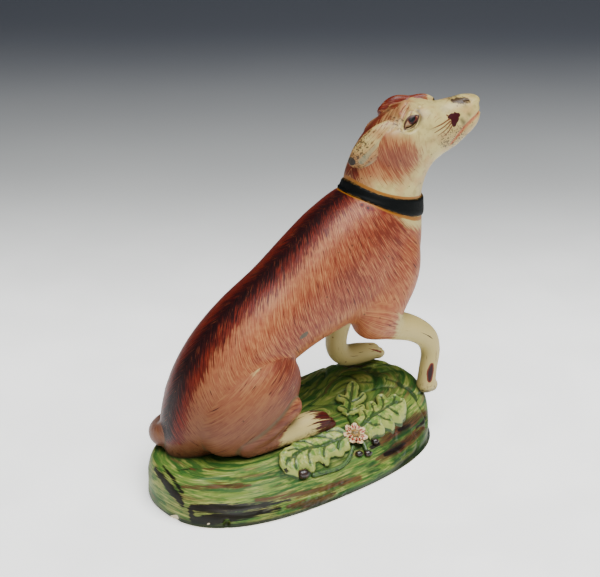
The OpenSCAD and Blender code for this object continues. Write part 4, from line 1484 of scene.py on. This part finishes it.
EAR_FOLDS = [[(-3.0, 120.5, 0.3), (-7.0, 116.5, 0.45), (-10.5, 112.8, 0.3)],
             [(-1.5, 119.0, 0.3), (-5.0, 114.6, 0.45), (-8.0, 111.0, 0.3)]]
EYE_S, EYE_Z, EYE_LEAN = 7.9, 126.1, math.radians(38)


def ear_chain(joints, flat, tilt):
    """Flat drop-shaped ear. tilt leans its flat side up or back from square to the head."""
    across = head_way(tilt[0], 1.0, 0) + np.array([0, 0, tilt[1]])
    across = across / np.linalg.norm(across)
    return chain([[*from_head(s, l, z), r] for s, l, z, r in joints], LIMB_STEPS, flat, across)


RIGHT_EAR = ear_chain(EAR_RIGHT, 0.42, (0.25, -0.25))
LEFT_EAR = ear_chain(EAR_LEFT, 0.62, (0.0, 0.35))


def carve_face(volume):
    """Adds eyes, lids, brows, mouth and nose. Returns the head as it was before them."""
    bare = volume.copy()
    for side in (-1, 1):
        cheek = from_head(3.5, side * 8.6, 117.5)
        volume.join(blob(cheek, [8.0, 2.6, 6.0], axes_from(head_way(1, 0, 0), head_way(0, 1, 0))), 3.0)
        volume.join(chain(on_head(bare, BROW, side), 4), 1.6)
        eye = from_head(7.8, skin_left(bare, 7.8, 126.2, side), 126.2)
        lean = axes_from(head_way(5.5, 0, 0) + np.array([0, 0, 4.4]),
                         head_way(0, 1, 0) + np.array([0, 0, 0.3 * side]))
        volume.cut(blob(eye + head_way(0, side * 0.9, 0), [4.2, 1.6, 2.7], lean), 1.2)
        volume.join(blob(eye - head_way(0, side * 1.7, 0), [3.5, 2.1, 2.1], lean), 0.3)
        for lid in (UPPER_LID, LOWER_LID):
            volume.join(chain(on_head(bare, lid, side), 5), 0.7)
        volume.cut(chain(on_head(bare, MOUTH_LINE, side), 5), 0.7)
        volume.cut(chain(on_head(bare, [(29.6, 131.0, 0.3), (31.4, 130.6, 0.5)], side), 4), 0.6)
        volume.join(blob(from_head(21.0, side * 2.6, 113.9), [2.4, 1.6, 1.3]), 1.4)
    volume.join(blob(from_head(33.6, 0, 130.3), [2.6, 3.0, 1.6]), 1.6)
    return bare


def head_paint(name, bare):
    def paint(points):
        x, y, z = points.T
        s, l, _ = to_head(x, y, z)
        along, down, half_girth, station, right = body_map(points).T
        share = down / half_girth
        marks = {"mouth": [MOUTH_LINE], "whisker": WHISKERS, "splodge": [SPLODGE], "nostril": [NOSTRIL],
                 "smudge": SMUDGES}
        values = {"crease": 0.0, "chip": NO_MARK}
        for key, lines in marks.items():
            both = [on_head(bare, line, way) for way in (-1, 1) for line in lines]
            values[key] = mark_distance(points, both)
        ca, sa = math.cos(EYE_LEAN), math.sin(EYE_LEAN)
        u = (s - EYE_S) * ca + (z - EYE_Z) * sa
        v = -(s - EYE_S) * sa + (z - EYE_Z) * ca
        off_side = np.where(np.abs(l) > 3.5, 0, NO_MARK)
        lid = np.where(v > 0, 1.7, 1.05) * np.clip(1 - (np.abs(u) / 3.4) ** 2.0, -1, 1)
        values["eye"] = (np.abs(v) - lid) * 0.8 + off_side
        values["iris"] = np.hypot(u - 0.9, v - 0.5) - 1.85 + off_side
        values["pupil"] = np.hypot((u - 0.9) / 1.15, v - 0.9) - 1.2 + off_side
        values["glint"] = np.hypot((u - 0.5) / 1.5, v - 1.1) - 0.3 + off_side
        values["gold"] = gold_line(collar_height(station, right))
        cheek = np.exp(-(((s - 1.5) / 10.0) ** 2 + ((z - 113.5) / 8.4) ** 2) ** 1.3)
        rust = 1.05 * cheek * ramp(2, 6, np.abs(l))
        rust = rust + 0.55 * ramp(0.30, 0.12, share) * ramp(16, 4, s)
        values["rust"] = rust + 0.08
        crown = ramp(0.2, 0.05, share) * ramp(14, -2, s) * 0.6
        values["ridge"] = crown + 0.25 * ramp(0.5, 0.3, share) * (l > 0)
        stain = np.exp(-(((s - 24.8) / 6.5) ** 2 + ((z - 118.6) / 5.2) ** 2)) * 1.25
        stain = stain + 0.85 * np.exp(-(((s - 3.0) / 3.0) ** 2 + ((z - 126.0) / 3.6) ** 2))
        values["stain"] = stain + 0.8 * np.exp(-(((s - 27) / 4) ** 2 + ((z - 131) / 1.6) ** 2))
        bend = np.interp(down, BEND_AT, BEND_SUM)
        hair = [down - 0.6 * along, along + bend, 3.0]
        if name == "ear_right":
            tip = from_head(*EAR_RIGHT[-1][:3])
            values["chip"] = np.linalg.norm(points - tip - head_way(-1.6, -0.6, 0), axis=1) - 1.55
            values["rust"] = 0.42 + 0.3 * ramp(119, 112, z) + 0.15 * noise(x / 3, y / 3, z / 3)
            # The folds of the ear are painted as shade, not modelled.
            folds = [[(*from_head(a, -8.2, b), r) for a, b, r in line] for line in EAR_FOLDS]
            values["crease"] = np.exp(-(clamp01(mark_distance(points, folds) / 2.2) * 2.2) ** 2)
            values["stain"] = 0.5 + 0.35 * ramp(-5, -11, s)
            hair = [s + z, z - s, l]
        if name == "ear_left":
            values["rust"] = 1.05 * ramp(18.8, 16.8, s)
            values["ridge"] = 0.7 * ramp(17.6, 15.5, s)
            values["chip"] = np.linalg.norm(points - from_head(21.2, 4.6, 129.2), axis=1) - 1.5
            values["stain"] = 0.0
            hair = [s, z * 1.2 + l, l]
        return painted(points, values, hair)

    return paint


# ---------------------------------------------------------------- paint of the base and the sprigs

# Where the photo shows a streak, most of these points are spots picked on the photo by eye and turned into
# millimetres on the mound by a helper program. Widths, and points it doesn't show, were chosen.
BLACK_STREAKS = [
    [(-55.3, -18.1, 7.9, 0.9), (-53.2, -20.0, 7.7, 1.4), (-45.5, -24.1, 7.2, 1.3), (-37.1, -27.3, 6.3, 1.2),
     (-30.0, -29.2, 6.1, 0.6), (-22.3, -30.4, 5.7, 0.3)],
    [(-55.1, -18.9, 2.9, 1.3), (-51.1, -23.2, 3.8, 2.1), (-46.3, -25.9, 4.3, 1.8), (-38.2, -28.9, 4.7, 1.3),
     (-26.9, -30.9, 4.2, 0.5)],
    [(-55.6, -17.8, 7.2, 0.9), (-55.4, -18.4, 3.4, 1.1)],
    [(-58.4, 2.2, 14.8, 0.4), (-58.9, -5.8, 13.1, 1.4), (-57.9, -13.1, 9.9, 1.5), (-57.2, -15.2, 7.6, 0.4)],
    [(-56.6, -0.6, 16.3, 0.25), (-57.3, -8.2, 15.4, 0.5), (-56.6, -13.7, 12.2, 0.5)],
    [(-53.1, -6.6, 16.5, 0.6), (-50.6, -7.6, 16.5, 0.4)],
    [(20.1, -21.6, 9.6, 1.0), (23.0, -21.0, 9.6, 0.9)],
    [(23.9, -24.7, 6.5, 0.5), (31.9, -22.1, 5.7, 0.9), (36.0, -20.6, 6.0, 0.4)],
    [(36.0, -17.0, 9.8, 0.4), (39.1, -16.2, 9.3, 0.7), (43.0, -15.0, 9.3, 0.3)],
    [(46.0, -14.6, 7.0, 0.3), (50.2, -13.5, 7.2, 0.7), (53.2, -11.4, 7.6, 0.3)],
    [(-52.0, 24.0, 9.0, 0.5), (-40.0, 30.0, 8.0, 1.1), (-22.0, 32.4, 7.0, 0.9), (-6.0, 33.0, 6.4, 0.4)],
    [(20.0, 32.0, 5.0, 0.4), (34.0, 30.4, 6.4, 1.0), (46.0, 25.6, 7.6, 0.8), (54.0, 18.0, 8.4, 0.3)],
]
BROWN_STREAKS = [
    [(-55.8, -13.2, 13.7, 0.4), (-49.5, -17.6, 13.8, 0.6), (-40.8, -20.1, 12.6, 0.6),
     (-33.7, -21.9, 11.1, 0.3)],
    [(-34.0, -26.6, 7.6, 0.4), (-21.6, -29.3, 6.5, 0.7), (-9.2, -30.2, 5.7, 0.9), (1.7, -30.2, 5.0, 0.8),
     (8.4, -30.2, 4.5, 0.4)],
    [(-24.0, -31.8, 4.0, 0.6), (-19.2, -32.2, 3.5, 1.2), (-10.8, -32.4, 2.8, 1.2), (-3.9, -31.9, 3.1, 0.6)],
    [(-49.2, -8.2, 16.4, 0.3), (-44.8, -11.1, 16.4, 0.4), (-41.0, -12.6, 16.2, 0.2)],
    [(24.0, -21.0, 9.5, 0.6), (27.1, -20.2, 9.8, 1.0), (37.1, -16.3, 10.0, 1.3), (46.4, -13.5, 9.8, 1.3),
     (54.0, -10.7, 9.3, 0.8)],
    [(20.0, -25.5, 6.6, 0.6), (26.0, -24.2, 6.2, 1.0), (31.9, -22.1, 5.7, 1.2), (41.2, -18.6, 5.9, 1.2),
     (50.2, -14.5, 5.2, 0.8)],
    [(36.0, 21.0, 20.6, 0.5), (39.7, 17.2, 21.4, 0.8), (43.3, 15.4, 21.8, 0.4)],
    [(58.6, 8.0, 6.0, 0.8), (55.0, 16.0, 9.0, 1.2), (46.0, 25.0, 10.0, 1.0), (30.0, 30.6, 9.0, 0.6)],
    [(-56.0, 16.0, 6.0, 0.6), (-44.0, 28.6, 4.6, 1.2), (-26.0, 32.4, 3.6, 1.0), (-8.0, 33.0, 3.4, 0.5)],
]
BASE_CHIPS = [[(-58.6, -9.4, 0.6, 0.7), (-57.9, -11.8, 1.4, 0.9)],
              [(-45.8, -25.2, 2.2, 0.5), (-45.4, -25.6, 2.6, 0.5)],
              [(-51.8, -22.6, 1.8, 0.4), (-51.4, -22.9, 2.2, 0.4)]]
LEAF_BLOTCHES = {
    "oak_leaf_rear": [(-12.6, -24.4, 0.7), (-3.4, -23.8, 0.6), (1.3, -22.7, 0.5), (-18.6, -22.6, 0.6)],
    "oak_leaf_front": [(29.5, -18.6, 0.5), (41.4, -13.8, 0.4)],
    "oak_leaf_top": [(27.0, -3.0, 0.3)],
}


def base_paint(points):
    """Attributes of the mound: painted shade in its hollows and cracks, the dog's contact shade, brush
    streaks, chips and the bare foot.
    """
    x, y, z = points.T
    px, py, _, edge = oval_place(x, y)
    depth = base_relief(x, y, z)
    cracks = mark_distance(points, [[(*on_ground(a, b), r * 0.6) for a, b, r in c] for c in CRACKS])
    # Painted shade: darker in the mound's deeper hollows and along its cracks.
    hollow = ramp(0.25, 1.0, depth) * 0.8 + np.exp(-(clamp01(cracks / 1.6) * 2.2) ** 2) * 0.9
    shade = body.sample(points) - 0.2
    for name in LEAVES:
        shade = np.minimum(shade, leaf_plan(name, x, y)[0] + 0.3)
    shade = np.minimum(shade, np.linalg.norm(points - FLOWER, axis=1) - 4.6)
    below = ground(x, y) - z
    under = np.where((below > 4.0) & (-edge > 4.0), 0.0, z)
    pale = ramp(-14, -40, px) * ramp(18.5, 14.0, z) * ramp(1.0, 4.0, z)
    values = {"hollow": hollow, "shade": shade, "pale": pale, "foot": z - 0.1, "under": under,
              "black": mark_distance(points, BLACK_STREAKS),
              "brown": mark_distance(points, BROWN_STREAKS),
              "chip": mark_distance(points, BASE_CHIPS)}
    return painted(points, values, [px, z * 1.4 - edge * 0.6, py * 0.15])


def leaf_paint(name):
    def paint(points):
        x, y, z = points.T
        outline, vein = leaf_plan(name, x, y)
        blotch = np.min([np.linalg.norm(points - np.array(on_ground(a, b, 0.8)), axis=1) - r * 1.6
                         for a, b, r in LEAF_BLOTCHES[name]], axis=0)
        lift = z - ground(x, y)
        # Darker green in the carved veins, partly their own colour and partly painted shade, and painted
        # shade where the leaf lies low on the mound.
        valley = np.exp(-(vein / 0.55) ** 2) * ramp(-0.4, -1.2, outline) + ramp(0.7, 0.2, lift)
        # Lighter raised rims: their own paler colour and a painted highlight.
        edge = ramp(-1.3, -0.5, outline) * ramp(0.3, 0.8, lift)
        return painted(points, {"valley": valley, "edge": edge, "blotch": blotch})

    return paint


def petal_paint(points):
    off = points - FLOWER
    a, b = off @ FLOWER_ACROSS, off @ FLOWER_BACK
    angle = np.arctan2(b, a)
    beat = 0.5 + 0.5 * np.cos((angle - 0.2) * PETALS * 2)
    values = {"reach": np.hypot(a, b), "beat": beat, "low": off @ FLOWER_UP,
              "gap": ramp(0.2, 0.0, beat) * ramp(3.2, 4.2, np.hypot(a, b))}
    return painted(points, values)


def collar_paint(points):
    _, down, _, station, right = body_map(points).T
    height = collar_height(station, right)
    edge = np.abs(height) / (COLLAR_WIDTH / 2)
    return painted(points, {"edge": edge}, [down * np.sign(right), height, 0.0])


def slab_volume(pitch):
    volume = Volume([BASE_LOW[0] + 3, BASE_LOW[1] + 3, -1.5], [BASE_HIGH[0] - 3, BASE_HIGH[1] - 3, 4], pitch)
    x, y, z = volume.axes()
    edge = oval_place(x, y)[3]
    drag = 0.12 * noise(x / 14, y / 1.6, z * 0, 2) + 0.1 * noise(x / 2.2, y / 2.2, z * 0, 2)
    half = SLAB_TOP / 2
    volume.fill(smooth_max(edge + BASE_WALL - 0.35, np.abs(z - half) - half + 0.12 + drag, 0.3))
    return volume


# ---------------------------------------------------------------- the pieces

coat = coat_material()
face_glaze = head_material()
for name, (pts, fcs) in cuts.items():
    make_piece("dog_" + name, pts, fcs, [name], "coat_glaze", body.slope, coat_paint(name), coat)

head_at = from_head(0, 0, 0)
head = loft_volume([head_at[0] - 24, MID_Y - 27, 92], [head_at[0] + 40, MID_Y + 20, 136], HEAD_PITCH)
bare_head = carve_face(head)
skull = head.copy()
for ear in (RIGHT_EAR, LEFT_EAR):
    head.join(ear, 0.7)
head_points, head_faces = head.surface()
_, left_over = split(head_points, head_faces, neck_height(head_points) - NECK_CUT)
for name, ear in (("ear_right", RIGHT_EAR), ("ear_left", LEFT_EAR)):
    pts = left_over[0]
    own, left_over = split(*left_over, ear.dist(*pts.T) - skull.sample(pts))
    make_piece("dog_" + name, *own, [name], "coat_glaze", head.slope, head_paint(name, bare_head), face_glaze)
make_piece("dog_head", *left_over, ["head"], "cream_glaze", head.slope, head_paint("head", bare_head),
           face_glaze)

FINE, COARSE = cell(0.22), cell(0.5)
FINEST = FINE * 0.7
make_from(base_volume(COARSE), "mound", ["base_mound"], "base_glaze", base_paint, base_material())
make_from(slab_volume(COARSE), "underside", ["base_slab"], "bare_clay", None,
          plain_enamel("bare_clay_buff", rgb(206, 192, 158), rgb(168, 150, 116), 0.8, 0.35, 0.0))
for name in LEAVES:
    make_from(leaf_volume(name, FINE), name.replace("oak_", ""), [name], "leaf_glaze", leaf_paint(name),
              leaf_material(name + "_glaze"))
make_from(flower_volume(FINEST), "flower", ["flower_petals"], "petal_glaze", petal_paint, petal_material())
make_from(boss_volume(FINEST), "flower_centre", ["flower_boss"], "boss_enamel", None,
          plain_enamel("boss_enamel_ochre", rgb(150, 112, 50), rgb(70, 66, 34), 0.4, 1.2, 0.1))
make_from(acorns_volume(FINE), "acorn_set", ["acorns"], "acorn_enamel", None,
          plain_enamel("acorn_enamel_brown", rgb(16, 9, 7), rgb(58, 34, 20), 0.35, 0.9, 0.2))
make_from(stems_volume(FINE), "twigs", ["leaf_stems"], "stem_glaze", None,
          plain_enamel("stem_glaze_green", rgb(62, 92, 36), rgb(26, 50, 22), 0.45, 0.8, 0.1))
make_piece("collar_band", *make_collar(), ["collar"], "collar_enamel", None, collar_paint, collar_material())


# ---------------------------------------------------------------- stage, light and camera

CAMERA_AZIMUTH = math.radians(-34)
CAMERA_HEIGHT = math.radians(24)  # how far the camera looks down
CAMERA_TARGET = Vector((0.0065, 0.006, 0.0672))
CAMERA_DISTANCE = 0.6
LENS = 98.6                       # focal length in millimetres
BACK_WAY = Vector((math.sin(CAMERA_AZIMUTH), -math.cos(CAMERA_AZIMUTH), 0))


def paper_material():
    """Pale paper, painted darker to grey-blue far behind the figure as shade, that glows near the figure as
    painted light.
    """
    s = Shader("paper_sweep", coat=0.0, specular=0.2)
    place = s.place()
    node = s.node("VectorMath")
    node.operation = "DOT_PRODUCT"
    s.feed(node, 0, place)
    s.feed(node, 1, tuple(-BACK_WAY))
    far = Sock(s, node.outputs["Value"]) + (s.noise(place, 0.004, 2.0) - 0.5) * 60
    mottle = s.noise(place, 0.02, 3.0)
    near = s.mix((0.88, 0.885, 0.87), (0.93, 0.935, 0.92), s.ramp(mottle, 0.4, 0.6))
    # Painted shade: the paper's colour darkens to grey and then grey-blue further behind the figure.
    middle = s.mix(near, (0.52, 0.53, 0.52), s.ramp(far, 60, 330))
    s.colour = s.mix(middle, (0.075, 0.082, 0.098), s.ramp(far, 100, 650))
    # Painted light: the paper glows as well, most near the figure, fading out far behind it.
    s.feed(s.bsdf, "Emission Color", s.mix(s.colour, (0.0, 0.0, 0.0), s.ramp(far, 20, 420)))
    s.feed(s.bsdf, "Emission Strength", 0.9)
    return s.finish(0.6)


def make_stage():
    """A sheet of paper that lies flat, curves up behind the figure and rises, in metres."""
    bm = bmesh.new()
    width, depth, rise, bend, parts = 3.0, 0.96, 2.0, 0.5, 12
    profile = [(-1.2, 0.0), (depth, 0.0)]
    for i in range(1, parts + 1):
        a = math.radians(90 * i / parts)
        profile.append((depth + bend * math.sin(a), bend * (1 - math.cos(a))))
    profile.append((depth + bend, rise))
    right = Vector((math.cos(CAMERA_AZIMUTH), math.sin(CAMERA_AZIMUTH), 0))
    rows = []
    for d, z in profile:
        middle = -BACK_WAY * d + Vector((0, 0, z))
        rows.append([bm.verts.new(middle + right * (width * side)) for side in (-1, 1)])
    for a, b in zip(rows, rows[1:]):
        bm.faces.new((a[0], a[1], b[1], b[0]))
    mesh = bpy.data.meshes.new("stage_sweep")
    bm.to_mesh(mesh)
    bm.free()
    floor = bpy.data.objects.new("stage_sweep", mesh)
    bpy.context.scene.collection.objects.link(floor)
    mesh.polygons.foreach_set("use_smooth", np.ones(len(mesh.polygons), bool))
    mesh.materials.append(paper_material())


def aim(obj, target):
    obj.rotation_mode = "QUATERNION"
    obj.rotation_quaternion = (Vector(target) - obj.location).to_track_quat("-Z", "Y")


def area_light(name, place, target, size, power):
    data = bpy.data.lights.new(name, "AREA")
    data.shape = "RECTANGLE"
    data.size, data.size_y = size
    data.energy = power
    lamp = bpy.data.objects.new(name, data)
    bpy.context.scene.collection.objects.link(lamp)
    lamp.location = place
    aim(lamp, target)


def make_camera():
    data = bpy.data.cameras.new("camera")
    camera = bpy.data.objects.new("camera", data)
    bpy.context.scene.collection.objects.link(camera)
    back = BACK_WAY * math.cos(CAMERA_HEIGHT) + Vector((0, 0, math.sin(CAMERA_HEIGHT)))
    camera.location = CAMERA_TARGET + back * CAMERA_DISTANCE
    aim(camera, CAMERA_TARGET)
    data.sensor_width = 36
    data.lens = LENS
    bpy.context.scene.camera = camera


make_camera()
make_stage()
area_light("key", (0.05, -0.3, 0.95), (0, 0, 0.05), (0.7, 0.7), 18)
area_light("fill", (-0.7, -0.7, 0.45), (0, 0, 0.06), (0.8, 0.8), 1.6)
world = bpy.data.worlds.new("studio")
bpy.context.scene.world = world
world.use_nodes = True
sky = world.node_tree.nodes["Background"].inputs
sky["Color"].default_value = (0.9, 0.92, 0.94, 1)
sky["Strength"].default_value = 0.25
